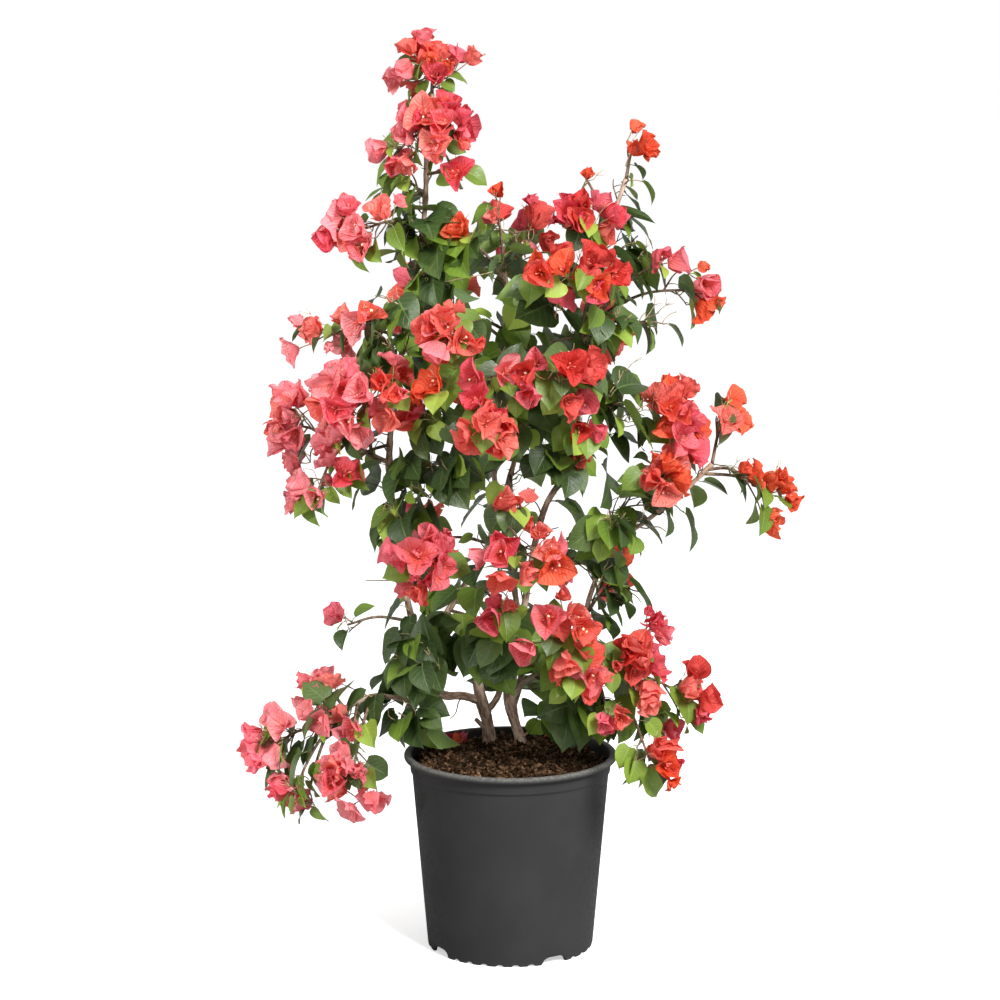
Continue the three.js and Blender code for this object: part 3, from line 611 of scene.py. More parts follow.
LEAF = Blade(
    widths=((0, 0), (0.03, 0.26), (0.09, 0.43), (0.17, 0.51), (0.28, 0.53), (0.4, 0.51), (0.52, 0.455),
            (0.64, 0.365), (0.75, 0.255), (0.84, 0.15), (0.92, 0.06), (1, 0)),
    rows=(0, 0.04, 0.12, 0.23, 0.36, 0.5, 0.64, 0.76, 0.87, 0.94, 1), columns=6, heart=0.11)
BRACT = Blade(
    widths=((0, 0), (0.04, 0.24), (0.11, 0.4), (0.22, 0.505), (0.35, 0.54), (0.48, 0.52), (0.61, 0.455),
            (0.73, 0.36), (0.83, 0.25), (0.91, 0.145), (0.96, 0.07), (1, 0)),
    rows=(0, 0.04, 0.1, 0.18, 0.26, 0.35, 0.44, 0.53, 0.62, 0.71, 0.79, 0.86, 0.92, 0.97, 1), columns=10,
    heart=0.07)


class Recipe:
    """A node tree that is being filled."""

    def __init__(self, tree: bpy.types.NodeTree) -> None:
        """Start on a tree.

        Args:
            tree: The tree to fill.
        """
        self.tree = tree

    def add(self, kind: str, sockets: dict | None = None, **settings: object) -> bpy.types.Node:
        """Add a node.

        Args:
            kind: Its type.
            sockets: Its inputs by name or number: a value, or a socket to link.
            **settings: Its other settings.

        Returns:
            The node.
        """
        node = self.tree.nodes.new(kind)
        for key, value in settings.items():
            setattr(node, key, value)
        for key, value in (sockets or {}).items():
            if isinstance(value, Socket):
                self.tree.links.new(value, node.inputs[key])
            else:
                node.inputs[key].default_value = value
        return node

    def math(self, operation: str, *terms: Socket | float) -> Socket:
        """Return the result of a sum on sockets and numbers."""
        return self.add("ShaderNodeMath", dict(enumerate(terms)), operation=operation).outputs[0]

    def rise(self, value: Socket, low: Socket | float, high: Socket | float, least: float = 0,
             most: float = 1) -> Socket:
        """Return a smooth rise of a value.

        Args:
            value: The value to read.
            low: Where the rise starts.
            high: Where it ends.
            least: The result at its start.
            most: The result at its end.

        Returns:
            The risen value.
        """
        sockets = {"Value": value, "From Min": low, "From Max": high, "To Min": least, "To Max": most}
        return self.add("ShaderNodeMapRange", sockets, interpolation_type="SMOOTHSTEP").outputs[0]

    def mix(self, share: Socket, first: Socket | Colour, second: Socket | Colour) -> Socket:
        """Return a colour between two others, by a share that changes over the surface."""
        start, end = (colour if isinstance(colour, Socket) else (*colour, 1) for colour in (first, second))
        return self.add("ShaderNodeMix", {0: share, 6: start, 7: end}, data_type="RGBA").outputs[2]

    def noise(self, **sockets: object) -> Socket:
        """Return a noise of values between 0 and 1."""
        return self.add("ShaderNodeTexNoise", sockets).outputs[0]

    def attribute(self, name: str, output: str = "Fac") -> Socket:
        """Return one of the mesh's own values."""
        return self.add("ShaderNodeAttribute", attribute_name=name).outputs[output]

    def group(self, tree: bpy.types.NodeTree, **sockets: object) -> tuple[Socket, ...]:
        """Return the outputs of a node group that is given its inputs by name."""
        return tuple(self.add("ShaderNodeGroup", sockets, node_tree=tree).outputs)

    def bump(self, strength: float, relief: float, height: Socket) -> Socket:
        """Return the normals of a surface with a relief, in metres."""
        sockets = {"Strength": strength, "Distance": relief, "Height": height}
        return self.add("ShaderNodeBump", sockets).outputs[0]

    def principled(self, colour: Socket | tuple, roughness: Socket | float, shine: float,
                   **sockets: object) -> Socket:
        """Return a principled shader, which may have more inputs than these."""
        sockets |= {"Base Color": colour, "Roughness": roughness, "Specular IOR Level": shine}
        return self.add("ShaderNodeBsdfPrincipled", sockets).outputs[0]


def new_group(name: str, inputs: dict[str, float | None], *outputs: str) -> tuple[Recipe, dict[str, Socket]]:
    """Start a node group.

    Args:
        name: Its name.
        inputs: The first value of each input by name, with None for a vector.
        *outputs: The name of each output, a value that changes over the surface.

    Returns:
        The group's recipe, and its inputs by name.
    """
    tree = bpy.data.node_groups.new(name, "ShaderNodeTree")
    for title, value in inputs.items():
        kind = "NodeSocketVector" if value is None else "NodeSocketFloat"
        socket = tree.interface.new_socket(title, in_out="INPUT", socket_type=kind)
        if value is not None:
            socket.default_value = value
    for title in outputs:
        tree.interface.new_socket(title, in_out="OUTPUT", socket_type="NodeSocketFloat")
    recipe = Recipe(tree)
    return recipe, dict(recipe.add("NodeGroupInput").outputs.items())


class Effects:
    """The effects that several finishes share, each built once as a node group."""

    def __init__(self) -> None:
        """Build the groups."""
        self.veins = self._veins()
        self.mottle = self._clouds("mottle", 100.0, 3.0, 0.5, 0.35, 0.65)
        self.grit = self._clouds("grit", 900.0, 6.0, 0.65, 0.7, 0.8)

    def _veins(self) -> bpy.types.NodeTree:
        """Build the group for a midrib and the side veins that leave it, from a blade's own map.

        Returns:
            The group.
        """
        recipe, inputs = new_group(
            "veins", {"Across": 0.5, "Along": 0.5, "Pairs": 6.0, "Slant": 0.4, "Width": 0.1}, "Height")
        away = recipe.math("ABSOLUTE", recipe.math("SUBTRACT", inputs["Across"], 0.5))
        rib = recipe.rise(away, 0.042, 0.008)
        bowed = recipe.math("POWER", recipe.math("MULTIPLY", away, 2.0), 1.25)
        run = recipe.math("SUBTRACT", inputs["Along"], recipe.math("MULTIPLY", bowed, inputs["Slant"]))
        wave = recipe.math("FRACT", recipe.math("MULTIPLY", run, inputs["Pairs"]))
        start = recipe.math("SUBTRACT", 0.5, inputs["Width"])
        line = recipe.rise(recipe.math("ABSOLUTE", recipe.math("SUBTRACT", wave, 0.5)), start, 0.49)
        side = recipe.math("MULTIPLY", line, recipe.rise(away, 0.5, 0.3))
        recipe.add("NodeGroupOutput", {0: recipe.math("MAXIMUM", rib, recipe.math("MULTIPLY", side, 0.6))})
        return recipe.tree

    def _clouds(self, name: str, scale: float, detail: float, roughness: float, low: float,
                high: float) -> bpy.types.NodeTree:
        """Build a group for a noise: a mask of its peaks, and its height.

        Args:
            name: The group's name.
            scale: How fine the noise is at first.
            detail: How many finer layers it has.
            roughness: How strong those layers are.
            low: Where the mask starts at first.
            high: Where the mask is full at first.

        Returns:
            The group.
        """
        recipe, inputs = new_group(
            name, {"Vector": None, "Scale": scale, "Low": low, "High": high}, "Mask", "Height")
        cloud = recipe.noise(
            Vector=inputs["Vector"], Scale=inputs["Scale"], Detail=detail, Roughness=roughness)
        recipe.add("NodeGroupOutput", {0: recipe.rise(cloud, inputs["Low"], inputs["High"]), 1: cloud})
        return recipe.tree


def new_material(name: str) -> tuple[bpy.types.Material, Recipe]:
    """Start a material.

    Args:
        name: Its name.

    Returns:
        The material and its recipe.
    """
    material = bpy.data.materials.new(name)
    material.use_nodes = True
    material.node_tree.nodes.clear()
    return material, Recipe(material.node_tree)


@dataclass(frozen=True)
class BladeFinish:
    """The finish of leaves or bracts: two tones over the blade, veins, and light that shines through.

    The colours are those near the root, towards the margin, of the palest blades, of the veins, of the
    reverse and of the light that shines through. The values given here are those of a bract.
    """

    name: str
    inner: Colour
    outer: Colour
    pale: Colour
    vein: Colour
    back: Colour
    glow: Colour
    through: float
    roughness: float = 0.6
    vein_share: float = 0.85
    relief: float = 0.0024
    sheen: float = 0.4
    pairs: float = 7.0
    slant: float = 0.42
    vein_width: float = 0.22
    hem: float = 0.5
    flecks: float = 0.34

    def build(self, effects: Effects) -> bpy.types.Material:
        """Build the material.

        Args:
            effects: The shared effects.

        Returns:
            The material.
        """
        material, recipe = new_material(self.name)
        place = recipe.add("ShaderNodeUVMap", uv_map="blade").outputs[0]
        across, along, _ = recipe.add("ShaderNodeSeparateXYZ", {0: place}).outputs
        spot = recipe.add("ShaderNodeTexCoord").outputs["Object"]
        tone = recipe.attribute("tone")
        veins, = recipe.group(effects.veins, Across=across, Along=along, Pairs=self.pairs, Slant=self.slant,
                              Width=self.vein_width)
        mottle_and_crumple_shade, cloud = recipe.group(effects.mottle, Vector=spot, Scale=130.0, Low=0.3, High=0.7)
        _, grit = recipe.group(effects.grit, Vector=spot, Scale=520.0)
        away = recipe.math("ABSOLUTE", recipe.math("SUBTRACT", across, 0.5))
        outward = recipe.math("ADD", recipe.math("MULTIPLY", along, 0.7), recipe.math("MULTIPLY", away, 0.9))
        ragged = recipe.math("ADD", outward, recipe.math("MULTIPLY", cloud, 0.3))
        colour = recipe.mix(recipe.rise(ragged, 0.3, 1.0), self.inner, self.outer)
        # A higher tone turns a blade paler; towards the crown's left the bracts' tone is raised, which paints
        # light on that side.
        colour = recipe.mix(recipe.rise(tone, 0.25, 1.0, 0.0, 0.75), colour, self.pale)
        for share in (
                recipe.math("MULTIPLY", veins, self.vein_share),
                recipe.rise(away, 0.45, 0.5, 0.0, self.hem),
                recipe.rise(grit, 0.46, 0.62, 0.0, self.flecks)):
            colour = recipe.mix(share, colour, self.vein)
        # Patches turn the colour towards the inner one: partly colour mottle, partly painted shade that
        # stands for crumples.
        face = recipe.mix(recipe.rise(mottle_and_crumple_shade, 0.0, 1.0, 0.0, 0.3), colour, self.inner)
        reverse = recipe.mix(recipe.rise(tone, 0.0, 1.0, 0.35, 0.6), face, self.back)
        both = recipe.mix(recipe.add("ShaderNodeNewGeometry").outputs["Backfacing"], face, reverse)
        normal = recipe.bump(0.55, self.relief, recipe.math("SUBTRACT", grit, veins))
        roughness = recipe.rise(cloud, 0.3, 0.7, self.roughness - 0.06, self.roughness + 0.08)
        surface = recipe.principled(both, roughness, self.sheen, Normal=normal)
        glow = recipe.mix(recipe.rise(tone, 0.0, 1.0, 0.35, 0.8), both, self.glow)
        light = recipe.add("ShaderNodeBsdfTranslucent", {"Color": glow, "Normal": normal}).outputs[0]
        mixed = recipe.add("ShaderNodeMixShader", {0: self.through, 1: surface, 2: light}).outputs[0]
        recipe.add("ShaderNodeOutputMaterial", {0: mixed})
        return material


@dataclass(frozen=True)
class WoodFinish:
    """The finish of bark and twigs: furrows along the grain, pale flakes, and greener wood at the tips."""

    name: str
    dark: Colour
    light: Colour
    flake: Colour
    young: Colour
    scale: float
    relief: float
    roughness: float
    shine: float = 0.3

    def build(self, effects: Effects) -> bpy.types.Material:
        """Build the material.

        Args:
            effects: The shared effects.

        Returns:
            The material.
        """
        material, recipe = new_material(self.name)
        grain = recipe.attribute("grain", "Vector")
        furrow, groove = recipe.group(effects.mottle, Vector=grain, Scale=self.scale, Low=0.36, High=0.62)
        broad, _ = recipe.group(effects.mottle, Vector=grain, Scale=self.scale * 0.28, Low=0.42, High=0.6)
        speck, grit = recipe.group(effects.grit, Vector=grain, Scale=self.scale * 4, Low=0.55)
        colour = recipe.mix(furrow, self.dark, self.light)
        colour = recipe.mix(recipe.rise(broad, 0.3, 1.0, 0.0, 0.6), colour, self.flake)
        colour = recipe.mix(recipe.rise(recipe.attribute("tone"), 0.35, 1.0, 0.0, 0.8), colour, self.young)
        colour = recipe.mix(recipe.rise(speck, 0.0, 1.0, 0.0, 0.5), colour, self.dark)
        height = recipe.math("ADD", groove, recipe.math("MULTIPLY", grit, 0.5))
        roughness = recipe.rise(grit, 0.3, 0.7, self.roughness - 0.08, self.roughness + 0.08)
        normal = recipe.bump(0.8, self.relief, height)
        recipe.add("ShaderNodeOutputMaterial", {
            0: recipe.principled(colour, roughness, self.shine, Normal=normal)})
        return material


@dataclass(frozen=True)
class PotFinish:
    """The finish of the pot: matte dark grey plastic, dusty, worn pale at the rim and painted with a
    highlight there.
    """

    name: str = "moulded_plastic"
    body: Colour = (0.031, 0.031, 0.0315)
    faded: Colour = (0.04, 0.04, 0.04)
    # The pale colour of dust and wear, which on the lip's top also paints a highlight.
    rim: Colour = (0.15, 0.147, 0.135)
    roughness: float = 0.52
    shine: float = 0.04
    relief: float = 0.0004

    def build(self, effects: Effects) -> bpy.types.Material:
        """Build the material.

        Args:
            effects: The shared effects.

        Returns:
            The material.
        """
        material, recipe = new_material(self.name)
        spot = recipe.add("ShaderNodeTexCoord").outputs["Object"]
        cloud, _ = recipe.group(effects.mottle, Vector=spot, Scale=14.0, Low=0.3, High=0.75)
        dust, haze = recipe.group(effects.mottle, Vector=spot, Scale=240.0, Low=0.35, High=0.7)
        speck, grit = recipe.group(effects.grit, Vector=spot, Scale=1500.0, Low=0.62)
        colour = recipe.mix(recipe.rise(cloud, 0.0, 1.0, 0.0, 0.5), self.body, self.faded)
        # The tone pales the lip's top: partly dust and wear, partly a painted highlight.
        dust_wear_and_highlight = recipe.math("MULTIPLY", recipe.attribute("tone"), recipe.rise(dust, 0.0, 1.0, 0.55, 1.0))
        colour = recipe.mix(dust_wear_and_highlight, colour, self.rim)
        colour = recipe.mix(recipe.rise(speck, 0.0, 1.0, 0.0, 0.16), colour, self.rim)
        height = recipe.math("ADD", grit, recipe.math("MULTIPLY", haze, 0.6))
        roughness = recipe.rise(haze, 0.3, 0.7, self.roughness - 0.06, self.roughness + 0.1)
        normal = recipe.bump(0.35, self.relief, height)
        recipe.add("ShaderNodeOutputMaterial", {
            0: recipe.principled(colour, roughness, self.shine, Normal=normal)})
        return material


# What the leaves share, where they differ from bracts.
LEAF_TRAITS = {"pairs": 6.0, "slant": 0.34, "vein_width": 0.1, "hem": 0.0, "flecks": 0.0}

# Every finish of a blade: its six colours and how much light it lets through, and for a leaf its roughness,
# the strength of its veins, its relief in metres and its sheen.
LEAF_FINISHES = {
    Age.OLD: BladeFinish(
        "old_leaf", (0.028, 0.053, 0.014), (0.043, 0.076, 0.019), (0.085, 0.13, 0.032), (0.14, 0.2, 0.07),
        (0.16, 0.24, 0.11), (0.16, 0.32, 0.03), 0.12, 0.38, 0.62, 0.0006, 0.38, **LEAF_TRAITS),
    Age.GROWN: BladeFinish(
        "grown_leaf", (0.088, 0.155, 0.017), (0.12, 0.196, 0.022), (0.18, 0.27, 0.036), (0.24, 0.33, 0.09),
        (0.24, 0.34, 0.13), (0.32, 0.52, 0.04), 0.18, 0.42, 0.62, 0.0005, 0.38, **LEAF_TRAITS),
    Age.YOUNG: BladeFinish(
        "young_leaf", (0.165, 0.255, 0.028), (0.215, 0.32, 0.038), (0.32, 0.42, 0.07), (0.36, 0.46, 0.12),
        (0.32, 0.43, 0.16), (0.45, 0.6, 0.07), 0.2, 0.46, 0.55, 0.0004, 0.34, **LEAF_TRAITS),
}
BRACT_FINISHES = {
    Hue.PINK: BladeFinish(
        "pink_bract", (0.85, 0.15, 0.1), (0.88, 0.22, 0.28), (0.89, 0.5, 0.51), (0.6, 0.035, 0.06),
        (0.89, 0.32, 0.36), (0.98, 0.2, 0.24), 0.48),
    Hue.ROSE: BladeFinish(
        "rose_bract", (0.74, 0.05, 0.035), (0.81, 0.095, 0.15), (0.86, 0.3, 0.34), (0.42, 0.012, 0.03),
        (0.84, 0.19, 0.25), (0.96, 0.1, 0.15), 0.44),
    Hue.CORAL: BladeFinish(
        "coral_bract", (0.84, 0.095, 0.028), (0.87, 0.16, 0.14), (0.89, 0.4, 0.35), (0.56, 0.022, 0.018),
        (0.88, 0.25, 0.22), (0.98, 0.16, 0.11), 0.46),
    Hue.ORANGE: BladeFinish(
        "orange_bract", (0.78, 0.05, 0.01), (0.83, 0.095, 0.032), (0.87, 0.2, 0.1), (0.46, 0.018, 0.01),
        (0.85, 0.17, 0.08), (0.96, 0.12, 0.03), 0.38),
    Hue.DEEP: BladeFinish(
        "deep_bract", (0.62, 0.03, 0.014), (0.72, 0.06, 0.055), (0.84, 0.17, 0.14), (0.34, 0.012, 0.012),
        (0.76, 0.12, 0.1), (0.9, 0.07, 0.05), 0.36),
}
FALLEN_FINISH = BladeFinish(
    "fallen_bract", (0.34, 0.006, 0.02), (0.46, 0.012, 0.055), (0.64, 0.06, 0.13), (0.2, 0.004, 0.02),
    (0.5, 0.04, 0.13), (0.6, 0.02, 0.12), 0.25, 0.62)

# Every finish of wood: its dark, light, flaking and young colours, how fine its grain is, its relief in
# metres, its roughness and, where it is duller than bark, its shine.
BARK_FINISH = WoodFinish(
    "bark", (0.19, 0.115, 0.08), (0.46, 0.31, 0.225), (0.62, 0.48, 0.39), (0.32, 0.23, 0.15),
    520.0, 0.0007, 0.78)
TWIG_FINISH = WoodFinish(
    "twig_bark", (0.055, 0.034, 0.022), (0.17, 0.11, 0.07), (0.28, 0.2, 0.13), (0.13, 0.12, 0.05),
    900.0, 0.0003, 0.66)
SHOOT_FINISH = WoodFinish(
    "green_shoot", (0.1, 0.12, 0.035), (0.2, 0.23, 0.075), (0.3, 0.24, 0.12), (0.28, 0.13, 0.07),
    900.0, 0.0002, 0.5)
STRAW_FINISH = WoodFinish(
    "straw_stalk", (0.22, 0.13, 0.065), (0.46, 0.32, 0.18), (0.6, 0.46, 0.3), (0.34, 0.36, 0.14),
    900.0, 0.0002, 0.6)
FLOWER_FINISH = WoodFinish(
    "flower_tube", (0.5, 0.06, 0.05), (0.66, 0.13, 0.1), (0.7, 0.28, 0.18), (0.82, 0.74, 0.5),
    900.0, 0.0002, 0.55)
MIX_FINISH = WoodFinish(
    "potting_mix", (0.008, 0.004, 0.0015), (0.056, 0.03, 0.015), (0.12, 0.068, 0.036), (0.016, 0.009, 0.005),
    420.0, 0.003, 0.92, 0.05)
CHIP_FINISHES = (
    WoodFinish("chip_dark", (0.009, 0.004, 0.0015), (0.03, 0.015, 0.007), (0.06, 0.035, 0.018),
               (0.03, 0.017, 0.009), 700.0, 0.0008, 0.86, 0.06),
    WoodFinish("chip_brown", (0.05, 0.026, 0.012), (0.1, 0.055, 0.028), (0.17, 0.105, 0.06),
               (0.12, 0.066, 0.035), 700.0, 0.0008, 0.84, 0.08),
    WoodFinish("chip_red", (0.085, 0.04, 0.02), (0.17, 0.09, 0.048), (0.32, 0.2, 0.12),
               (0.26, 0.14, 0.08), 700.0, 0.0008, 0.84, 0.1),
)


def start_of(word: str) -> int:
    """Return a number that a word fixes, so that its noise or draws start in a place of their own."""
    return sum((k + 1) * ord(letter) for k, letter in enumerate(word)) % 997


@dataclass
class Limb:
    """A trunk, stem or bough: one tapering limb with ridged, flaking bark."""

    name: str
    foot: float
    tip: float
    flare: float
    route: tuple
    flare_length: float = 50.0
    ring_gap: float = 2.4
    stout: float = 5.0
    knot_reach: float = 2.2
    knot_swell: float = 0.22
    grain_stretch: float = 0.22
    course: Course = field(init=False)

    def __post_init__(self) -> None:
        """Lay the limb's centre line."""
        self.course = Course(self.route)

    def radius(self, t: Array | float) -> Array | float:
        """Return the limb's radius at a share of its length."""
        reach = np.maximum(0, 1 - t * self.course.length / self.flare_length)
        return self.foot + (self.tip - self.foot) * t + self.flare * reach**2

    def relief(self, around: Vector, run: float) -> float:
        """Work out how far ridges and flakes of bark stand out.

        Args:
            around: The place in the limb's section.
            run: The place along it.

        Returns:
            The height, as a share of the bark's depth.
        """
        start = start_of(self.name)
        ridge = noise.noise(Vector((around.x * 0.42, around.y * 0.42, run * 0.035 + start)))
        flake = noise.noise(Vector((around.x * 0.9, around.y * 0.9, run * 0.14 + start)))
        return 0.24 * ridge + 0.16 * flake + (0.1 if flake > 0.12 else 0.0)

    def bark(self, knots: list[Array], age: tuple[float, float]) -> Heap:
        """Build the limb's bark.

        Args:
            knots: Points where other wood leaves the limb, which swells there.
            age: The tone at its foot and at its tip, from 0 for old wood to 1 for green.

        Returns:
            The bark, as a heap with one surface.
        """
        rings = max(6, round(self.course.length / self.ring_gap))
        t = np.linspace(0, 1, rings + 1)
        radii = self.radius(t)
        path = self.course.at(t)
        for knot in knots:
            away = np.linalg.norm(path - knot, axis=1) / (radii.mean() * self.knot_reach)
            radii = radii * (1 + self.knot_swell * np.exp(-(away**2)))
        sides = 28 if self.foot > self.stout else 18
        verts, faces = tube(path, radii, sides)
        rows = np.append(np.repeat(np.arange(rings + 1), sides), [0, rings])
        grains = []
        for k, row in enumerate(rows):
            turn = 2 * math.pi * (k % sides) / sides
            radius, run = radii[row], t[row] * self.course.length
            around = Vector((math.cos(turn) * radius, math.sin(turn) * radius, 0))
            grains.append((around.x, around.y, run * self.grain_stretch + start_of(self.name)))
            if k < (rings + 1) * sides:
                step = 0.5 * radius**0.75 * self.relief(around, run)
                verts[k] += (verts[k] - path[row]) / radius * step
        heap = Heap(f"bark_{self.name}")
        heap.add((verts, faces), age[0] + (age[1] - age[0]) * t[rows], grain=np.array(grains))
        return heap


@dataclass(frozen=True)
class Gauge:
    """How thick a twig is at its foot and its tip, how many sides it has, and how long its steps are."""

    foot: float
    tip: float
    sides: int = 5
    step: float = 7.0


STALK = Gauge(2.5, 1.5, sides=7, step=6.0)
LEAFY_TWIG = Gauge(1.5, 0.8)
BLOOMING_TWIG = Gauge(1.3, 0.8)
LEAFY_SHOOT = Gauge(1.1, 0.65)
SIDE_TWIG = Gauge(0.9, 0.6)
BARE_STALK = Gauge(0.65, 0.5)
BARE_FORK = Gauge(0.45, 0.3)
RUNNER = Gauge(1.0, 0.5, step=8.0)
PETIOLE = Gauge(0.75, 0.5, step=5.0)
FLOWER_STALK = Gauge(0.7, 0.9, step=5.0)
THORN = Gauge(0.95, 0.12, step=4.0)


class Clearing:
    """Where leaves and blooms may stand: clear of the limbs, the pot, the soil and each other."""

    pot_radius = 145.0
    pot_top = 266.0
    ground = 4.0
    limb_gap = 0.6
    limb_step = 4.0

    def __init__(self, limbs: dict[str, Limb]) -> None:
        """Note where the limbs are.

        Args:
            limbs: The limbs by name.
        """
        points, self.radii = [], []
        for limb in limbs.values():
            t = np.linspace(0, 1, max(3, round(limb.course.length / self.limb_step)))
            points.extend(limb.course.at(t))
            self.radii.extend(limb.radius(t))
        self.tree = kdtree.KDTree(len(points))
        for k, point in enumerate(points):
            self.tree.insert(point, k)
        self.tree.balance()
        self.taken = np.zeros((0, 3))

    def free(self, points: Array) -> bool:
        """Test whether points keep off the pot, the ground and the limbs.

        Args:
            points: The points of a leaf or bloom.

        Returns:
            Whether they do.
        """
        near = np.hypot(points[:, 0], points[:, 1]) < self.pot_radius
        if (near & (points[:, 2] < self.pot_top)).any() or points[:, 2].min() < self.ground:
            return False
        for point in points[::2]:
            _, k, distance = self.tree.find(point)
            if distance < self.radii[k] + self.limb_gap:
                return False
        return True

    def roomy(self, centre: Array, room: float) -> bool:
        """Return whether no leaf or bloom stands nearer to a point than room."""
        return not len(self.taken) or float(np.linalg.norm(self.taken - centre, axis=1).min()) > room

    def take(self, centre: Array) -> None:
        """Note that a leaf or bloom stands at a point."""
        self.taken = np.vstack([self.taken, centre])


@dataclass
class Mass:
    """One spray of leaves or blooms: its stalk's place on a limb, its own space and its hues."""

    name: str
    limb: str
    at: float
    centre: Array
    reach: Array
    twigs: int
    blooms: int
    hues: str
    forks: int
    side_reach: float = 62.0
    full_reach: float = 58.0
    least_vigour: float = 0.72

    @property
    def outward(self) -> Array:
        """Return the direction from the crown's axis out through the mass."""
        return unit(self.centre - np.array([0.0, AXIS_DEPTH, self.centre[2] - AXIS_DROP]))

    @property
    def vigour(self) -> float:
        """Return how large the mass's leaves and blooms grow."""
        return float(np.clip(self.reach[2] / self.full_reach, self.least_vigour, 1))

    def near(self, point: Array) -> "Mass":
        """Return a small spray about a point of the mass's stalk or limb."""
        return replace(self, centre=point, reach=np.full(3, self.side_reach))

    def holds(self, points: Array, slack: float = 1.25) -> bool:
        """Test whether points lie within the mass's reach, and the crown's.

        Args:
            points: The points.
            slack: How much further than its reach they may go, as a factor.

        Returns:
            Whether they do.
        """
        if (points < CROWN_LOW).any() or (points > CROWN_HIGH).any():
            return False
        return float((((points - self.centre) / self.reach) ** 2).sum(1).max()) < slack * slack


@dataclass
class Crown:
    """The crown: stalks and twigs as in the solids, carried on to leaves, stalks, bracts and flowers.

    A stalk's bend and arch, and where its twigs root and end, belong to the rule that the solids grow by.
    """

    limbs: dict[str, Limb]
    stalk_bend: float = 0.55
    stalk_arch: float = 0.1
    first_root: float = 6.0
    root_span: float = 0.8
    twig_spread: float = 1.6
    inset_least: float = 20.0
    inset_most: float = 30.0
    leaf_length: float = 54.0
    leaf_gap: float = 24.0
    leaf_room: float = 16.0
    leaf_share: float = 0.69
    side_thinning: float = 0.36
    middle_thinning: float = 0.4
    side_centre: float = -5.0
    side_band: tuple[float, float] = (88.0, 178.0)
    foot_band: tuple[float, float] = (340.0, 400.0)
    opening_x: float = 22.0
    opening_z: float = 552.0
    opening_width: tuple[float, float] = (40.0, 75.0)
    opening_height: tuple[float, float] = (45.0, 75.0)
    large_below: float = 430.0
    fine_above: float = 975.0
    bract_length: float = 32.0
    bloom_room: float = 18.0
    bloom_room_least: float = 14.0
    bloom_middle: float = 8.0
    bloom_stalk: float = 13.0
    young_share: float = 0.12
    star_share: float = 0.14
    thorn_gap: float = 30.0
    thorn_start: float = MIX_TOP + 20
    tries: int = 7
    clearing: Clearing = field(init=False)
    knots: dict[str, list[Array]] = field(init=False)
    wood: Heap = field(init=False)
    shoots: Heap = field(init=False)
    straw: Heap = field(init=False)
    flowers: Heap = field(init=False)
    leaves: dict[Age, Heap] = field(init=False)
    bracts: dict[Hue, Heap] = field(init=False)
    masses: list[Mass] = field(init=False)
    sprays: dict[str, set[str]] = field(init=False)

    def __post_init__(self) -> None:
        """Set up the heaps and the masses."""
        self.clearing = Clearing(self.limbs)
        self.knots = {name: [] for name in self.limbs}
        self.wood = Heap("twigs")
        self.shoots = Heap("shoots")
        self.straw = Heap("straw_stalks")
        self.flowers = Heap("flowers")
        self.leaves = {age: Heap(f"leaves_{age.name.lower()}") for age in Age}
        self.bracts = {hue: Heap(f"bracts_{hue.name.lower()}") for hue in Hue}
        self.masses = [
            Mass(name, limb, at, np.array(centre, float), np.array(reach, float), *rest)
            for name, limb, at, centre, reach, *rest in MASSES + FILLING]
        self.sprays = {}

    def grow(self) -> None:
        """Grow every mass in the tables' order, and then each limb's thorns and leafy shoots."""
        for number, mass in enumerate(self.masses):
            self.grow_mass(number, mass)
        for name, limb in self.limbs.items():
            draws = Draws(LIMB_SEED + start_of(name))
            self.arm(limb, draws)
            if not name.startswith("trunk"):
                self.clothe(limb, draws)

    def line(self, heap: Heap, course: Course, gauge: Gauge, tone: float) -> None:
        """Add a tapering twig, stalk or petiole.

        Args:
            heap: Where it goes.
            course: Its centre line.
            gauge: Its thickness.
            tone: Its tone.
        """
        t = np.linspace(0, 1, max(2, round(course.length / gauge.step)) + 1)
        verts, faces = tube(course.at(t), gauge.foot + (gauge.tip - gauge.foot) * t, gauge.sides)
        heap.add((verts, faces), tone, grain=verts * np.array([1, 1, 0.3]))

    def grow_mass(self, number: int, mass: Mass) -> None:
        """Grow one mass from its limb.

        Args:
            number: The mass's place in the table, which seeds its twigs.
            mass: The mass.
        """
        limb = self.limbs[mass.limb]
        start = limb.course.at(mass.at)
        self.knots[mass.limb].append(start)
        bend = start + (mass.centre - start) * self.stalk_bend
        bend[2] += np.linalg.norm(mass.centre - start) * self.stalk_arch
        stalk = Course([start, bend, mass.centre])
        self.line(self.wood, stalk, replace(STALK, foot=min(STALK.foot, limb.tip - 0.2)), 0.3)
        spare = Draws(number * MASS_SEEDS + STALK_SEED)
        for k in range(1, int(stalk.length / self.leaf_gap)):
            t = k * self.leaf_gap / stalk.length
            if t < 0.8:
                self.leaf(mass.near(stalk.at(t)), stalk, t, spare, spare.between(0.6, 1.0), "ooggy")
        rooting = min(stalk.length, mass.reach[1]) * self.root_span
        for i in range(mass.twigs):
            draws = Draws(number * MASS_SEEDS + i)
            end = self.twig_end(mass, i, draws)
            # Three draws pass unused, to keep the order of the rest.
            draws.shaken(0)
            root = stalk.at(1 - (self.first_root + rooting * i / mass.twigs) / stalk.length)
            if i < mass.blooms:
                facing = unit(unit(end - root) + mass.outward + draws.shaken(1))
                self.blooming_twig(mass, root, end, facing, draws)
            else:
                self.leafy_twig(mass, root, end, draws)

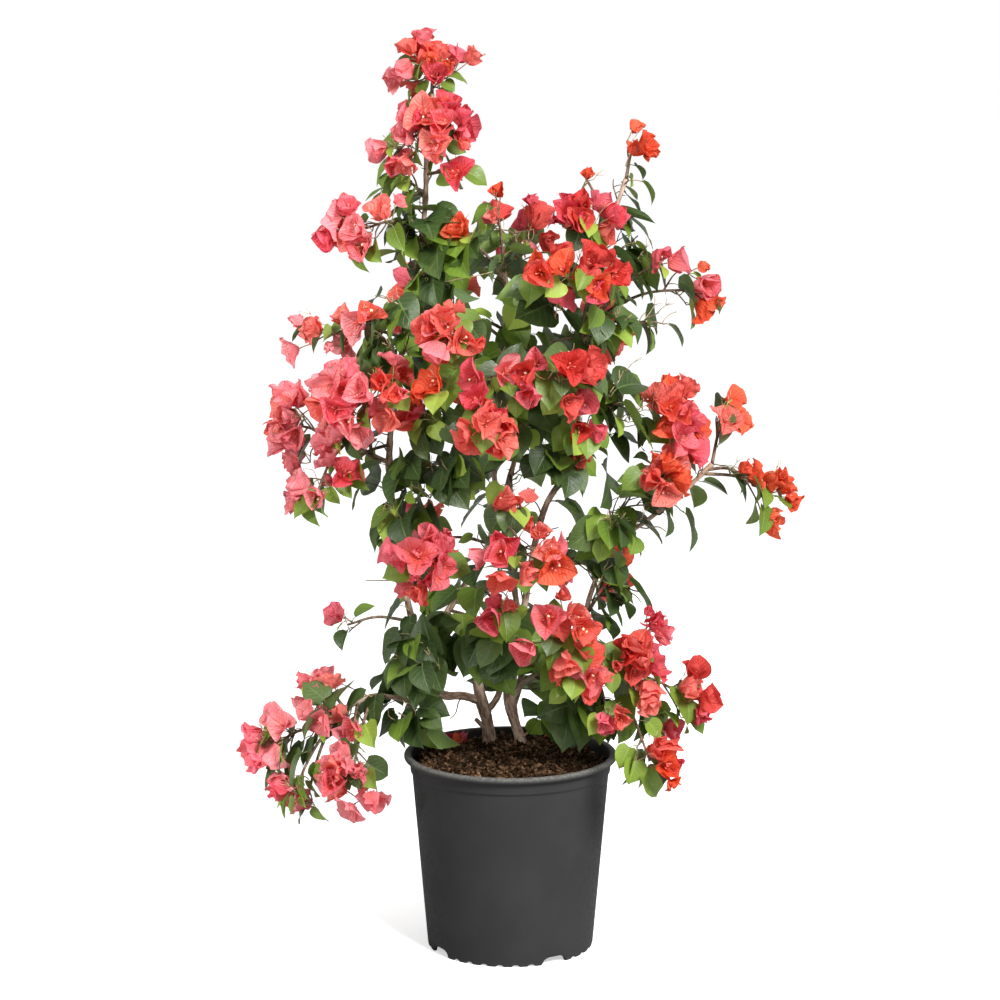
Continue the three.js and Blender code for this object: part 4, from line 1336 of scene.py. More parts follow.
    def clothe(self, limb: Limb, draws: Draws) -> None:
        """Grow short leafy shoots along a limb.

        Args:
            limb: The limb.
            draws: Its draws.
        """
        count = int(limb.course.length / self.leaf_gap)
        for k in range(1, count + 1):
            t = min(0.99, k / count + draws.between(-0.01, 0.0))
            root = limb.course.at(t)
            nearest = min(self.masses, key=lambda each: float(np.linalg.norm(each.centre - root)))
            mass = nearest.near(root)
            tangent = limb.course.tangent(t)
            side = unit(np.cross(tangent, UP + np.array([0.2, 0.1, 0])))
            away = swing(side, tangent, k * GOLDEN)
            heading = unit(away + mass.outward * 0.35 + tangent * 0.4 + draws.shaken(0.6))
            tip = root + heading * draws.between(14, 52)
            if not self.clearing.free(tip[None]):
                continue
            shoot = self.twig(root, tip, draws, LEAFY_SHOOT, draws.between(0.2, 0.8))
            for share in (1.0, 0.65, 0.3):
                self.leaf(mass, shoot, share, draws, draws.between(0.5, 1.08), "ooooggy")
            if draws.draw() < 0.7:
                self.runner(mass, root, heading, draws)

    def twig_end(self, mass: Mass, i: int, draws: Draws) -> Array:
        """Work out where a twig ends.

        Args:
            mass: Its mass.
            i: Its number in the mass.
            draws: Its draws.

        Returns:
            The point.
        """
        cosine = 1 - self.twig_spread * (i + 0.5) / mass.twigs
        sine = math.sqrt(1 - cosine * cosine)
        turn = i * GOLDEN + draws.draw()
        spread = Vector((sine * math.cos(turn), sine * math.sin(turn), cosine))
        spread.rotate(Vector((0, 0, 1)).rotation_difference(Vector(mass.outward)))
        inset = draws.between(self.inset_least, self.inset_most)
        return np.array(spread) * (mass.reach - inset) + mass.centre

    def twig(self, root: Array, end: Array, draws: Draws, gauge: Gauge, tone: float,
             heap: Heap | None = None) -> Course:
        """Grow a slightly wandering twig.

        Args:
            root: Where it starts.
            end: Where it ends.
            draws: Its draws.
            gauge: Its thickness.
            tone: Its tone.
            heap: Where it goes, if not with the woody twigs.

        Returns:
            Its centre line.
        """
        span = float(np.linalg.norm(end - root))
        first = root + (end - root) * 0.36 + draws.shaken(span * 0.14) + UP * span * 0.05
        second = root + (end - root) * 0.7 + draws.shaken(span * 0.14) + UP * span * 0.03
        course = Course([root, first, second, end])
        self.line(heap or self.wood, course, gauge, tone)
        return course

    def blooming_twig(self, mass: Mass, root: Array, end: Array, facing: Array, draws: Draws) -> None:
        """Grow a twig that ends in a spray of blooms, with leaves along it.

        Args:
            mass: Its mass.
            root: Where it leaves the stalk.
            end: Where its first bloom stands.
            facing: Where that bloom faces.
            draws: Its draws.
        """
        fork = end - facing * self.bloom_stalk - UP * 3
        course = self.twig(root, fork, draws, BLOOMING_TWIG, draws.between(0.2, 0.6))
        self.bloom(mass, fork, end, unit(facing + draws.shaken(0.9)), draws, 1.0)
        side = unit(np.cross(facing, draws.shaken(1) + np.array([0, 0.01, 0])))
        for k in range(mass.forks + (draws.draw() < 0.35)):
            turned = unit(facing * 0.55 + swing(side, facing, k * 2.3) + draws.shaken(0.6))
            heart = fork + turned * draws.between(18, 38)
            self.bloom(mass, fork, heart, unit(turned + draws.shaken(0.9)), draws, 0.95)
        for t in (0.85, 0.5, 0.2):
            if draws.draw() < 0.7:
                self.leaf(mass, course, t, draws, draws.between(0.45, 0.85), "yggo")
        if draws.draw() < 0.5:
            self.bare_stalk(mass, course.at(0.8), unit(mass.outward + UP + draws.shaken(1.2)), draws)

    def leafy_twig(self, mass: Mass, root: Array, end: Array, draws: Draws) -> None:
        """Grow a twig with leaves along it and on short side twigs.

        Args:
            mass: Its mass.
            root: Where it leaves the stalk.
            end: Where it ends.
            draws: Its draws.
        """
        course = self.twig(root, end, draws, LEAFY_TWIG, draws.between(0.1, 0.5))
        large = 1.0 if mass.blooms == 0 else 0.82
        for t in (1.0, 0.82, 0.64, 0.46, 0.28):
            self.leaf(mass, course, t, draws, large * draws.between(0.6, 1.12), "oooggy")
        for t in (0.45, 0.75)[:mass.forks]:
            start = course.at(t)
            heading = unit(course.tangent(t) + mass.outward * 0.4 + draws.shaken(2.2))
            tip = start + heading * draws.between(18, 34)
            if not mass.holds(tip[None], 1.0):
                continue
            side = self.twig(start, tip, draws, SIDE_TWIG, 0.7)
            for share in (1.0, 0.5):
                self.leaf(mass, side, share, draws, large * draws.between(0.5, 0.9), "ooggy")
        self.runner(mass, course.at(0.3), course.tangent(0.3), draws)
        if draws.draw() < 0.5:
            self.bare_stalk(mass, course.at(0.9), unit(mass.outward + UP + draws.shaken(1.2)), draws)

    def chance(self, root: Array) -> float:
        """Work out how likely a leaf grows, which is less at the crown's sides and in its open middle.

        Args:
            root: Where its petiole would leave the twig.

        Returns:
            The chance, from 0 to 1.
        """
        x, _, z = root
        side = float(ease(*self.side_band, abs(x - self.side_centre)) * ease(*self.foot_band, z))
        closed = ease(*self.opening_width, abs(x - self.opening_x))
        closed += ease(*self.opening_height, abs(z - self.opening_z))
        middle = 1 - float(closed)
        return self.leaf_share - self.side_thinning * side - self.middle_thinning * max(0.0, middle)

    def leaf(self, mass: Mass, twig: Course, share: float, draws: Draws, size: float, ages: str) -> None:
        """Grow a leaf on its petiole, where there is room.

        Args:
            mass: Its mass.
            twig: The twig or stalk that it grows on.
            share: Where its petiole leaves the twig.
            draws: The twig's draws.
            size: Its size over that of a large one.
            ages: What it may be: o old, g grown, y young.
        """
        root, tangent = twig.at(share), twig.tangent(share)
        length = self.leaf_length * size * (0.9 + 0.1 * mass.vigour)
        if draws.draw() > self.chance(root):
            return
        if root[2] < self.large_below and mass.blooms == 0:
            ages, length = "ooog", length * 1.1
        if root[2] > self.fine_above:
            ages, length = "gggyo", length * 0.74
        age = Age(draws.pick(ages))
        if age is Age.YOUNG:
            length *= 0.72
        for _ in range(self.tries):
            turn = draws.between(0, 2 * math.pi)
            heading = np.array([math.cos(turn), math.sin(turn), draws.between(-0.6, 0.4)])
            heading = unit(heading + mass.outward * 0.7 + tangent * 0.5)
            joint = root + heading * draws.between(8, 19)
            along = unit(heading - UP * draws.between(0.25, 1.5))
            facing = mass.outward * draws.between(0.7, 1.3) + UP * draws.between(0.1, 0.9) + draws.shaken(0.9)
            bend = Bend(
                fold=draws.between(0.08, 0.5), curl=draws.between(0.1, 0.9), twist=draws.between(-0.4, 0.4),
                wave=draws.between(0.008, 0.035), ripples=draws.between(1, 2.2))
            local = LEAF.shape(length, draws.between(0.8, 1.02), bend, draws)
            verts = local @ frame_at(along, facing) + joint
            middle = verts[len(verts) // 2]
            roomy = self.clearing.roomy(middle, self.leaf_room)
            if not (roomy and mass.holds(verts) and self.clearing.free(verts)):
                continue
            self.clearing.take(middle)
            heap = self.leaves[age]
            heap.add((verts, LEAF.faces), draws.draw(), LEAF.uv)
            self.sprays.setdefault(heap.name, set()).add(mass.name)
            petiole = Course([root, root + (joint - root) * 0.55 + UP * 1.5, joint + along * 0.8])
            self.line(self.shoots, petiole, PETIOLE, draws.between(0, 0.9))
            return

    def bloom(self, mass: Mass, fork: Array, heart: Array, facing: Array, draws: Draws, size: float) -> None:
        """Grow a bloom of three bracts on its flower stalk, where there is room.

        Args:
            mass: Its mass.
            fork: Where its stalk leaves the twig.
            heart: Where its bracts meet.
            facing: Where it faces.
            draws: The twig's draws.
            size: Its size over that of a grown one.
        """
        letter = draws.pick(mass.hues)
        young = letter == "y" or draws.draw() < self.young_share
        hue = Hue.ORANGE if letter == "y" else Hue(letter)
        length = self.bract_length * size * draws.between(0.88, 1.08) * (0.85 + 0.15 * mass.vigour)
        opening = draws.between(0.32, 0.6) if draws.draw() < 0.3 else draws.between(0.6, 1.05)
        if young:
            length *= draws.between(0.55, 0.75)
            opening = draws.between(0.2, 0.45)
        for attempt in range(self.tries):
            axis = unit(facing + draws.shaken(0.35 * attempt))
            base = heart + draws.shaken(5.0 * attempt)
            middle = base + axis * self.bloom_middle
            if not self.clearing.roomy(middle, self.bloom_room if attempt < 4 else self.bloom_room_least):
                continue
            bracts = self.bract_set(base, axis, length, opening, young, draws)
            verts = np.vstack(bracts)
            if mass.holds(verts, 1.2) and self.clearing.free(verts):
                break
        else:
            return
        self.clearing.take(middle)
        heap = self.bracts[hue]
        # Blooms towards the crown's left side get a higher tone, which pales them: painted light that lifts
        # the side the key light leaves in shade.
        tone = draws.draw() + 0.4 * float(ease(120, 260, -base[0]))
        for verts in bracts:
            heap.add((verts, BRACT.faces), float(np.clip(tone + draws.between(-0.2, 0.2), 0, 1)), BRACT.uv)
        self.sprays.setdefault(heap.name, set()).add(mass.name)
        route = [fork, fork + (base - fork) * 0.5 + draws.shaken(3), base - axis * 0.5]
        self.line(self.shoots, Course(route), FLOWER_STALK, draws.between(0.2, 1.0))
        self.flower_set(base, axis, length, young, draws)

    def bract_set(self, heart: Array, axis: Array, length: float, opening: float, young: bool,
                  draws: Draws) -> list[Array]:
        """Shape the three bracts of a bloom.

        Args:
            heart: Where they meet.
            axis: Where the bloom faces.
            length: Their length.
            opening: How far they lean out from the axis, in radians.
            young: Whether the bloom is still partly closed.
            draws: The twig's draws.

        Returns:
            The points of each bract.
        """
        side = unit(np.cross(axis, draws.shaken(1) + np.array([0.01, 0, 0])))
        bracts = []
        for k in range(3):
            radial = swing(side, axis, (k + draws.between(-0.12, 0.12)) * 2 * math.pi / 3)
            lean = opening + draws.between(-0.22, 0.22)
            along = axis * math.cos(lean) + radial * math.sin(lean)
            inner = axis * math.sin(lean) - radial * math.cos(lean)
            bend = Bend(
                fold=draws.between(0.1, 0.4),
                curl=draws.between(-0.7, 0.1) if young else draws.between(-0.6, 0.9),
                twist=draws.between(-0.45, 0.45), cup=draws.between(0.2, 1.2), wave=draws.between(0.05, 0.12),
                ripples=draws.between(1.2, 3.0), crinkle=draws.between(0.035, 0.08),
                pleat=draws.between(0.01, 0.026))
            local = BRACT.shape(length * draws.between(0.88, 1.1), draws.between(0.82, 1.02), bend, draws)
            bracts.append(local @ frame_at(along, inner) + heart + radial * 0.8)
        return bracts

    def flower_set(self, heart: Array, axis: Array, length: float, young: bool, draws: Draws) -> None:
        """Add the slender flowers inside a bloom, some of them open at the tip.

        Args:
            heart: Where the bracts meet.
            axis: Where the bloom faces.
            length: The bracts' length.
            young: Whether the bloom is still partly closed.
            draws: The twig's draws.
        """
        side = unit(np.cross(axis, draws.shaken(1) + np.array([0, 0.01, 0])))
        for k in range(3):
            radial = swing(side, axis, (k + draws.between(-0.1, 0.1)) * 2 * math.pi / 3)
            rise = length * draws.between(0.32, 0.5)
            tip = heart + axis * rise + radial * draws.between(2.5, 6.5)
            course = Course([heart, heart + axis * rise * 0.5 + radial * 1.4, tip])
            path, girth = course.at(np.linspace(0, 1, 4)), np.array([0.6, 0.95, 0.75, 1.05])
            self.flowers.add(tube(path, girth, 5), 0.1 if young else 0.3)
            if not young and draws.draw() < self.star_share:
                self.star(tip, unit(tip - course.at(0.7)), draws)

    def star(self, tip: Array, axis: Array, draws: Draws) -> None:
        """Add the cream star that an open flower ends in.

        Args:
            tip: Where it stands.
            axis: Where it faces.
            draws: The twig's draws.
        """
        side = unit(np.cross(axis, np.array([0.3, 0.5, 0.81])))
        other = np.cross(axis, side)
        reach = draws.between(1.8, 2.7)
        i = np.arange(10)
        turns = (i * math.pi / 5)[:, None]
        radii = np.where(i % 2 == 0, reach, reach * 0.45)[:, None]
        rim = tip + axis * 1.4 + radii * (np.cos(turns) * side + np.sin(turns) * other)
        verts = np.vstack([tip + axis * 0.5, rim])
        faces = np.stack([0 * i, 1 + i, 1 + (i + 1) % 10], -1)
        self.flowers.add((verts, [faces]), 1.0)

    def bare_stalk(self, mass: Mass, root: Array, heading: Array, draws: Draws) -> None:
        """Add a bare forked stalk whose blooms have fallen, where there is room.

        Args:
            mass: Its mass.
            root: Where it leaves its twig.
            heading: Its direction.
            draws: The twig's draws.
        """
        fork = root + heading * draws.between(14, 26)
        if not mass.holds(fork[None], 0.95):
            return
        self.twig(root, fork, draws, BARE_STALK, 0.2, self.straw)
        for _ in range(3):
            end = fork + unit(heading + draws.shaken(1.5)) * draws.between(9, 18)
            if mass.holds(end[None], 1.0):
                self.twig(fork, end, draws, BARE_FORK, 0.2, self.straw)

    def runner(self, mass: Mass, root: Array, heading: Array, draws: Draws) -> None:
        """Add a long bare stem that wanders out through a mass, where there is room.

        Args:
            mass: Its mass.
            root: Where it leaves its twig or limb.
            heading: Its direction there.
            draws: The twig's draws.
        """
        for _ in range(3):
            points = [root]
            course = unit(heading + mass.outward * 0.5 + draws.shaken(1.8))
            for _ in range(4):
                course = unit(course + draws.shaken(0.8) + UP * 0.15)
                points.append(points[-1] + course * draws.between(14, 27))
            route = np.array(points)
            if mass.holds(route, 0.82) and self.clearing.free(route[2:]):
                heap = self.straw if draws.draw() < 0.45 else self.wood
                self.line(heap, Course(route), RUNNER, draws.between(0, 0.6))
                return

    def arm(self, limb: Limb, draws: Draws) -> None:
        """Set thorns along a limb.

        Args:
            limb: The limb.
            draws: Its draws.
        """
        for _ in range(int(limb.course.length / self.thorn_gap)):
            t = draws.between(0.08, 0.98)
            tangent = limb.course.tangent(t)
            away = unit(np.cross(tangent, draws.shaken(1) + np.array([0.01, 0.02, 0])))
            root = limb.course.at(t) + away * float(limb.radius(t)) * 0.7
            if root[2] < self.thorn_start:
                continue
            tip = root + unit(away + tangent * 0.25) * draws.between(6, 11)
            self.line(self.wood, Course([root, (root + tip) / 2, tip]), THORN, 0.4)

    def build(self, effects: Effects) -> None:
        """Join the heaps into pieces and dress them.

        Args:
            effects: The shared effects.
        """
        everywhere = [row[0] for row in MASSES]
        blooming = [row[0] for row in MASSES if row[6]]
        self.wood.settle(TWIG_FINISH.build(effects), "bark", everywhere)
        self.shoots.settle(SHOOT_FINISH.build(effects), "leaf", everywhere)
        self.straw.settle(STRAW_FINISH.build(effects), "bark", everywhere)
        self.flowers.settle(FLOWER_FINISH.build(effects), "bloom", blooming)
        for age, heap in self.leaves.items():
            heap.settle(LEAF_FINISHES[age].build(effects), "leaf", sorted(self.sprays[heap.name]))
        for hue, heap in self.bracts.items():
            heap.settle(BRACT_FINISHES[hue].build(effects), "bloom", sorted(self.sprays[heap.name]))


@dataclass
class Pot:
    """The nursery pot: a turned plastic shell with a rolled rim, a stepped band and a notched foot."""

    segments: int = 432
    foot_radius: float = 109.5
    top_radius: float = 129.5
    body_top: float = 235.0
    body_foot: float = 3.0
    under: float = 6.0
    inner_floor: float = 9.0
    notch_first: float = 32.0
    notch_half: float = 18.5
    notch_height: float = 9.5
    scallop_half: float = 5.2
    scallop_height: float = 2.6
    scallop_first: float = 17.5
    scallop_step: float = 11.0
    lip_foot: float = 250.0
    lip_edge: float = 255.0

    def wall_radius(self, z: Array | float) -> Array | float:
        """Return the outside radius of the tapering body at a height."""
        slope = (self.top_radius - self.foot_radius) * (z - self.body_foot)
        return self.foot_radius + slope / (self.body_top - self.body_foot)

    def lift(self, turns: Array) -> Array:
        """Work out how high the foot's edge stands.

        Args:
            turns: Angles round the pot, in radians from +X.

        Returns:
            The height of the edge at each angle.
        """
        front = np.degrees(turns) + 90 - self.notch_first
        quarter = (front + 45) % 90 - 45
        arc = np.radians(np.abs(quarter)) * self.foot_radius
        height = self.notch_height * np.clip(1 - (arc / self.notch_half) ** 3.2, 0, 1) ** 0.55
        places = self.scallop_first + self.scallop_step * np.arange(6)
        nearest = np.min(np.abs((front % 90)[:, None] - places), axis=1)
        scallop = np.radians(nearest) * self.foot_radius / self.scallop_half
        return np.maximum(height, self.scallop_height * np.clip(1 - scallop**2, 0, 1) ** 0.7)

    def profile(self) -> list[tuple[float, float, float, float]]:
        """Lay out the pot's section, from the foot up the outside, over the rim and down to the inner floor.

        Returns:
            The radius, the height, the share of the foot's lift, and the wear at each point, which on the
            lip's top is partly a painted highlight.
        """
        foot = [
            (107.4, 0.0, 1.0, 0.1), (108.5, 0.3, 1.0, 0.15), (109.2, 1.2, 0.97, 0.12),
            (self.foot_radius, self.body_foot, 0.85, 0.05)]
        shares = {6: 0.6, 9: 0.32, 12: 0.12}
        body = [(self.wall_radius(z), z, shares.get(z, 0.0), 0.0)
                for z in (6, 9, 12, 16, 30, 60, 95, 130, 165, 200, 222, 231)]
        band = [(radius, z, 0.0, 0.0) for radius, z in (
            (129.3, 234.2), (129.7, 235.1), (130.9, 235.9), (131.5, 236.7), (131.6, 238.0),
            (131.9, 242.0), (132.2, 246.0), (132.4, 249.6), (133.0, 250.8))]
        # The wear peaks on the lip's top faces: partly dust, nicks and wear, partly a painted highlight where
        # the lip faces the lights.
        rim = [(radius, z, 0.0, wear_and_highlight) for radius, z, wear_and_highlight in (
            (134.6, 251.4, 0), (137.0, 251.8, 0), (138.8, 252.6, 0), (139.7, 253.8, 0.05),
            (140.0, 255.2, 0.2), (139.9, 256.8, 0.6), (139.3, 258.4, 0.95), (138.2, 259.5, 1.0),
            (136.8, 260.0, 1.0), (134.4, 260.0, 0.9), (132.6, 259.6, 0.7), (131.2, 258.8, 0.45),
            (130.5, 257.2, 0.2))]
        inside = [(radius, z, 0.0, wear_and_highlight) for radius, z, wear_and_highlight in (
            (129.9, 252.0, 0.1), (128.4, 244.0, 0.05), (126.9, 235.0, 0), (118.0, 126.0, 0),
            (107.2, self.inner_floor, 0))]
        return foot + body + band + rim + inside

    def shell(self) -> Heap:
        """Build the pot's shell.

        Returns:
            The shell, as a heap with one closed surface.
        """
        turns = np.linspace(0, 2 * math.pi, self.segments, endpoint=False)
        lift = self.lift(turns)
        nick, fine = (
            np.array([noise.noise(Vector((math.cos(a) * scale, math.sin(a) * scale, start))) for a in turns])
            for scale, start in ((9, 3.1), (34, 8.4)))
        recess = ((96.0, self.under), (104.2, np.maximum(self.under, lift + 0.4)), (104.6, lift))
        rings = [circle(turns, radius, height) for radius, height in recess]
        tones = [0.0] * len(rings)
        for radius, z, share, wear_and_highlight in self.profile():
            rough = wear_and_highlight if z > self.lip_foot else 0.0
            radii = radius - rough * (0.18 * np.abs(nick) + 0.35 * np.clip(fine - 0.28, 0, 1))
            dip = rough * (0.25 * nick + 0.5 * np.clip(fine - 0.25, 0, 1)) if z > self.lip_edge else 0.0
            rings.append(circle(turns, radii, z + lift * share - dip))
            # The wear, with the lip's painted highlight, becomes the tone that pales the finish.
            tones.append(wear_and_highlight)
        heap = Heap("pot_shell")
        surface = skin(rings, np.array([0, 0, self.under]), np.array([0, 0, self.inner_floor]))
        heap.add(surface, np.append(np.repeat(tones, self.segments), [0, 0]))
        return heap


@dataclass
class Soil:
    """The potting mix: a lumpy mound with bark chips and fibres, and the bracts that have fallen on it."""

    radius: float = 127.2
    flat_radius: float = 86.0
    shoulder_radius: float = 102.0
    shoulder_drop: float = 4.0
    edge_height: float = 245.0
    waist_radius: float = 126.2
    waist_height: float = 225.0
    foot_radius: float = 107.0
    foot_height: float = 9.6
    chip_reach: float = 124.0
    chip_limit: float = 128.3
    fibre_reach: float = 116.0
    rings: int = 64
    segments: int = 200
    chips: int = 1700
    fibres: int = 620
    dark_share: float = 0.5
    brown_share: float = 0.62

    def height(self, x: float, y: float) -> float:
        """Work out the mound's height.

        Args:
            x: The place along x.
            y: The place along y.

        Returns:
            The height there.
        """
        r = math.hypot(x, y)
        shoulder = MIX_TOP - self.shoulder_drop
        if r < self.flat_radius:
            mound = MIX_TOP
        elif r < self.shoulder_radius:
            slope = self.shoulder_drop * (r - self.flat_radius) / (self.shoulder_radius - self.flat_radius)
            mound = MIX_TOP - slope
        else:
            outside = (r - self.shoulder_radius) / (self.radius - self.shoulder_radius)
            mound = shoulder - (shoulder - self.edge_height) * outside
        lumps = noise.fractal(Vector((x * 0.035, y * 0.035, 2.0)), 1.0, 2.0, 3)
        crumbs = noise.fractal(Vector((x * 0.16, y * 0.16, 5.0)), 1.0, 2.0, 3)
        fade = 1 - float(ease(118, 127, r)) * 0.6
        return mound - 1.6 + (3.0 * lumps + 2.2 * crumbs) * fade

    def point(self, x: float, y: float) -> tuple[float, float, float]:
        """Return the mound's point over a place."""
        return x, y, self.height(x, y)

    def spot(self, reach: float, draws: Draws) -> tuple[float, float]:
        """Draw a place within a reach of the pot's axis."""
        r, a = reach * math.sqrt(draws.draw()), draws.between(0, 2 * math.pi)
        return r * math.cos(a), r * math.sin(a)

    def mound(self) -> Heap:
        """Build the mound.

        Returns:
            The mound, as a heap with one closed surface.
        """
        turns = np.linspace(0, 2 * math.pi, self.segments, endpoint=False)
        rings = []
        for k in range(1, self.rings + 1):
            r = self.radius * (k / self.rings) ** 0.85
            rings.append(np.array([self.point(r * math.cos(a), r * math.sin(a)) for a in turns]))
        rings.append(circle(turns, self.waist_radius, self.waist_height))
        rings.append(circle(turns, self.foot_radius, self.foot_height))
        heap = Heap("potting_mix_mound")
        top, foot = np.array(self.point(0, 0)), np.array([0, 0, self.foot_height])
        heap.add(skin(rings, top, foot, down=True), 0.0)
        return heap

    def chip(self, draws: Draws) -> Surface:
        """Build one bark chip, about its own centre.

        Args:
            draws: The draws that fix its shape.

        Returns:
            Its points and faces.
        """
        size = draws.draw() ** 2
        length, width = 2.0 + 8 * size, draws.between(0.7, 1.7) + 1.6 * size
        depth = draws.between(0.5, 1.3) + size
        turns = np.arange(6) * math.pi / 3
        ring = np.stack([np.cos(turns) * length, np.sin(turns) * width, np.zeros(6)], -1)
        ring *= 1 + np.array([draws.between(-0.3, 0.25) for _ in turns])[:, None]
        upper = ring * 0.72 + np.array([0, 0, depth]) + draws.shaken(0.8)
        lower = ring * 0.8 - np.array([0, 0, depth])
        verts = np.vstack([lower, ring, upper])
        i = np.arange(6)
        after = (i + 1) % 6
        sides = np.vstack([np.stack([k + i, k + after, k + 6 + after, k + 6 + i], -1) for k in (0, 6)])
        return verts, [sides, np.array([[5, 4, 3, 2, 1, 0]]), np.array([[12, 13, 14, 15, 16, 17]])]

    def litter(self) -> list[Heap]:
        """Scatter the chips and fibres over the mound.

        Returns:
            One heap for each tone of chip.
        """
        heaps = [Heap(f"chips_{tone}") for tone in ("dark", "brown", "red")]
        draws = Draws(LITTER_SEED)
        for _ in range(self.chips):
            x, y = self.spot(self.chip_reach, draws)
            verts, faces = self.chip(draws)
            basis = frame_at(draws.shaken(2) * np.array([1, 1, 0.8]), UP + draws.shaken(2.2))
            place = np.array([x, y, self.height(x, y) + draws.between(-0.8, 2.2)])
            verts = verts @ basis[[1, 0, 2]] + place
            if np.hypot(verts[:, 0], verts[:, 1]).max() > self.chip_limit:
                continue
            kind = 0 if draws.draw() < self.dark_share else (1 if draws.draw() < self.brown_share else 2)
            heaps[kind].add((verts, faces), draws.between(0, 0.6))
        for _ in range(self.fibres):
            x, y = self.spot(self.fibre_reach, draws)
            turn, length = draws.between(0, 2 * math.pi), draws.between(5, 14)
            ends = []
            for share in (-0.5, 0, 0.5):
                px = x + math.cos(turn) * length * share + draws.between(-1.5, 1.5)
                py = y + math.sin(turn) * length * share + draws.between(-1.5, 1.5)
                ends.append((px, py, self.height(px, py) + draws.between(0.6, 2.4)))
            path = Course(ends).at(np.linspace(0, 1, 6))
            kind = 1 + int(draws.draw() * 2)
            heaps[kind].add(tube(path, np.linspace(0.36, 0.2, 6), 4), draws.between(0, 0.5))
        return heaps

    def fallen(self, name: str, places: tuple, seed: int) -> Heap:
        """Lay fallen bracts on the mound.

        Args:
            name: The name of the piece that they become.
            places: Where each lies, along x and y.
            seed: What fixes their shapes.

        Returns:
            The bracts.
        """
        heap = Heap(name)
        draws = Draws(seed)
        for x, y in places:
            bend = Bend(
                fold=0.2, curl=draws.between(0.3, 1.1), wave=0.07, ripples=2.0, cup=0.5, crinkle=0.035)
            local = BRACT.shape(draws.between(17, 25), 0.9, bend, draws)
            turn = draws.between(0, 2 * math.pi)
            heading = np.array([math.cos(turn), math.sin(turn), draws.between(-0.1, 0.35)])
            verts = local @ frame_at(heading, UP + draws.shaken(1.1))
            centre = verts.mean(0)
            verts += np.array([x, y, 0]) - np.array([centre[0], centre[1], 0])
            low = min(point[2] - self.height(point[0], point[1]) for point in verts[::4])
            verts[:, 2] += 0.8 - low
            heap.add((verts, BRACT.faces), draws.draw(), BRACT.uv)
        return heap


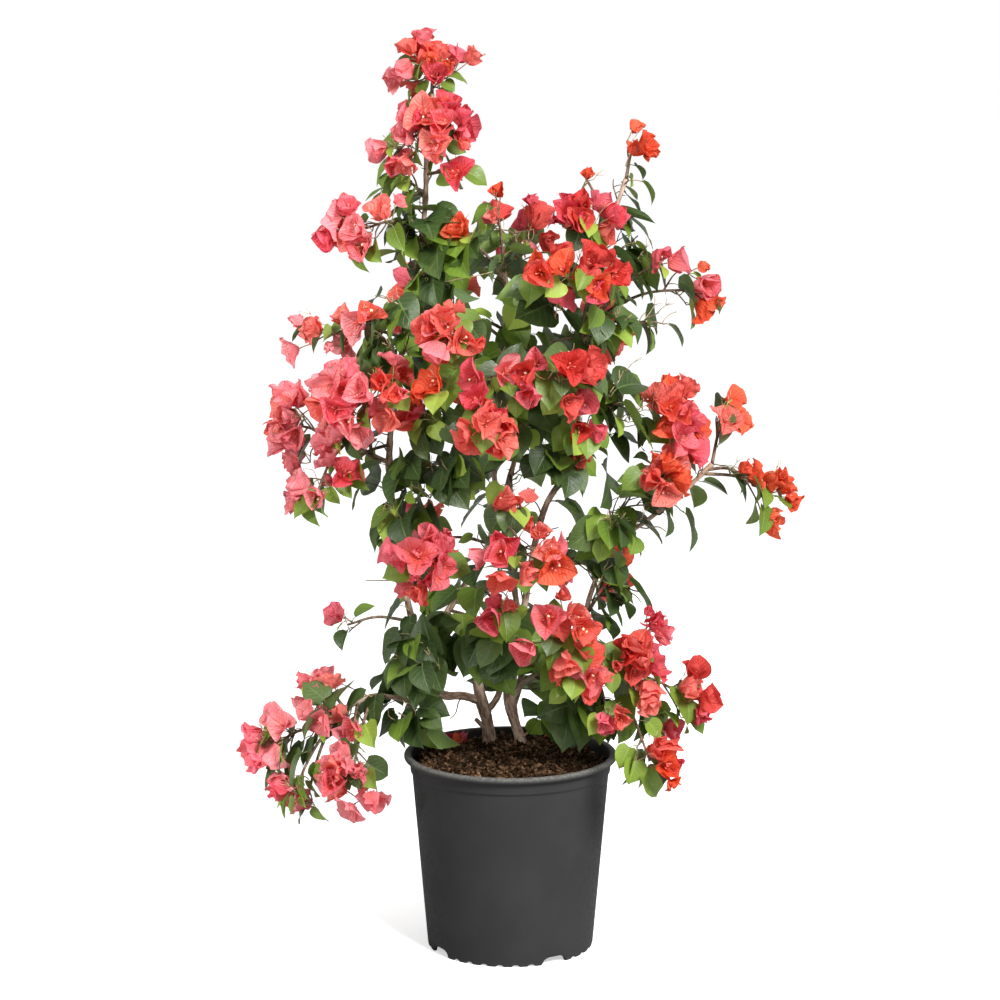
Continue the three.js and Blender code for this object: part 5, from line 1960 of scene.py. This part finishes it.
@dataclass
class Studio:
    """The pale studio: floor, lights and camera. Its places and sizes are in metres."""

    camera_place: tuple[float, float, float] = (-0.0137, -3.88, 1.269)
    camera_dip: float = 9.845
    lens: float = 109.32
    sensor: float = 36.0
    floor_span: float = 400.0
    sky: float = 0.52

    def floor(self) -> None:
        """Lay the floor, which looks white and throws a little of its light back up."""
        half = self.floor_span / 2
        mesh = bpy.data.meshes.new("floor")
        mesh.from_pydata(
            [(-half, -half, 0), (half, -half, 0), (half, half, 0), (-half, half, 0)], [], [(0, 1, 2, 3)])
        material, recipe = new_material("studio_floor")
        plain = recipe.principled((0.62, 0.62, 0.62, 1), 0.9, 0.1)
        bright = recipe.principled((0.9, 0.9, 0.9, 1), 0.9, 0.1, **{
            "Emission Color": (1, 1, 1, 1), "Emission Strength": 0.54})
        path = recipe.add("ShaderNodeLightPath").outputs["Is Camera Ray"]
        mixed = recipe.add("ShaderNodeMixShader", {0: path, 1: plain, 2: bright}).outputs[0]
        recipe.add("ShaderNodeOutputMaterial", {0: mixed})
        mesh.materials.append(material)
        floor = bpy.data.objects.new("floor", mesh)
        bpy.context.scene.collection.objects.link(floor)

    def light(self, name: str, place: tuple, aim: tuple, size: float, power: float,
              spread: float = 180) -> None:
        """Hang a soft light.

        Args:
            name: Its name.
            place: Where it hangs.
            aim: The point that it shines at.
            size: The side of its square.
            power: Its power, in watts.
            spread: How wide its beam opens, in degrees.
        """
        lamp = bpy.data.lights.new(name, "AREA")
        lamp.size = size
        lamp.energy = power
        lamp.spread = math.radians(spread)
        holder = bpy.data.objects.new(name, lamp)
        holder.location = place
        holder.rotation_euler = (Vector(aim) - Vector(place)).to_track_quat("-Z", "Y").to_euler()
        bpy.context.scene.collection.objects.link(holder)

    def world(self) -> None:
        """Fill the room with even white light."""
        world = bpy.data.worlds.new("studio")
        world.use_nodes = True
        bpy.context.scene.world = world
        world.node_tree.nodes.clear()
        recipe = Recipe(world.node_tree)
        white = {"Color": (1, 1, 1, 1)}
        glow = recipe.add("ShaderNodeBackground", {**white, "Strength": self.sky}).outputs[0]
        seen = recipe.add("ShaderNodeBackground", {**white, "Strength": 1.0}).outputs[0]
        path = recipe.add("ShaderNodeLightPath").outputs["Is Camera Ray"]
        mixed = recipe.add("ShaderNodeMixShader", {0: path, 1: glow, 2: seen}).outputs[0]
        recipe.add("ShaderNodeOutputWorld", {0: mixed})

    def camera(self) -> None:
        """Set up the camera at the photograph's place and angle."""
        lens = bpy.data.cameras.new("camera")
        lens.lens = self.lens
        lens.sensor_width = self.sensor
        holder = bpy.data.objects.new("camera", lens)
        holder.location = self.camera_place
        holder.rotation_euler = (math.radians(90 - self.camera_dip), 0, 0)
        bpy.context.scene.collection.objects.link(holder)
        bpy.context.scene.camera = holder

    def build(self) -> None:
        """Build the studio."""
        self.floor()
        self.world()
        self.light("key", (1.6, -2.4, 2.7), (0, 0, 0.55), 1.2, 228)
        self.light("fill", (-1.7, -2.2, 1.9), (-0.36, 0, 0.9), 0.5, 2.2, 21)
        self.light("low_fill", (-1.9, -2.4, 0.9), (-0.42, 0, 0.28), 0.3, 0.8, 11)
        self.camera()
        bpy.context.scene.view_settings.view_transform = "Standard"


def main() -> None:
    """Build the bush and its pot in order, and report each piece."""
    logging.basicConfig(level=logging.INFO, format="%(message)s")
    Studio().build()
    effects = Effects()

    Pot().shell().settle(PotFinish().build(effects), "pot", ["pot"])

    soil = Soil()
    soil.mound().settle(MIX_FINISH.build(effects), "potting_mix", ["potting_mix"])
    for heap, finish in zip(soil.litter(), CHIP_FINISHES):
        heap.settle(finish.build(effects), "potting_mix")

    limbs = {row[0]: Limb(*row) for row in LIMBS}
    crown = Crown(limbs)
    crown.grow()
    bark = BARK_FINISH.build(effects)
    for name, limb in limbs.items():
        knots = crown.knots[name] + [other.course.at(0) for other in limbs.values() if other is not limb]
        age = (0.0, 0.2) if name in OLD_LIMBS else (0.1, 0.75)
        limb.bark(knots, age).settle(bark, "bark", [name])
    stubs = Heap("bark_stubs")
    for k, (foot, tip, route) in enumerate(STUBS):
        stub = Limb(f"stub_{k}", foot, tip, 0, route).bark([], (0.0, 0.1))
        stubs.add((stub.verts[0], stub.faces), 0.0, grain=stub.grains[0])
    stubs.settle(bark, "bark")
    crown.build(effects)

    fallen = soil.fallen("fallen_magenta", FALLEN_CLUSTER, CLUSTER_SEED)
    fallen.settle(FALLEN_FINISH.build(effects), "bloom")
    singles = soil.fallen("fallen_orange", FALLEN_SINGLES, SINGLES_SEED)
    singles.settle(bpy.data.materials["orange_bract"], "bloom")

    total = sum(len(piece.data.loop_triangles) for piece in bpy.data.objects if piece.type == "MESH")
    log.info("triangles in all: %d", total)


if __name__ == "__main__":
    main()
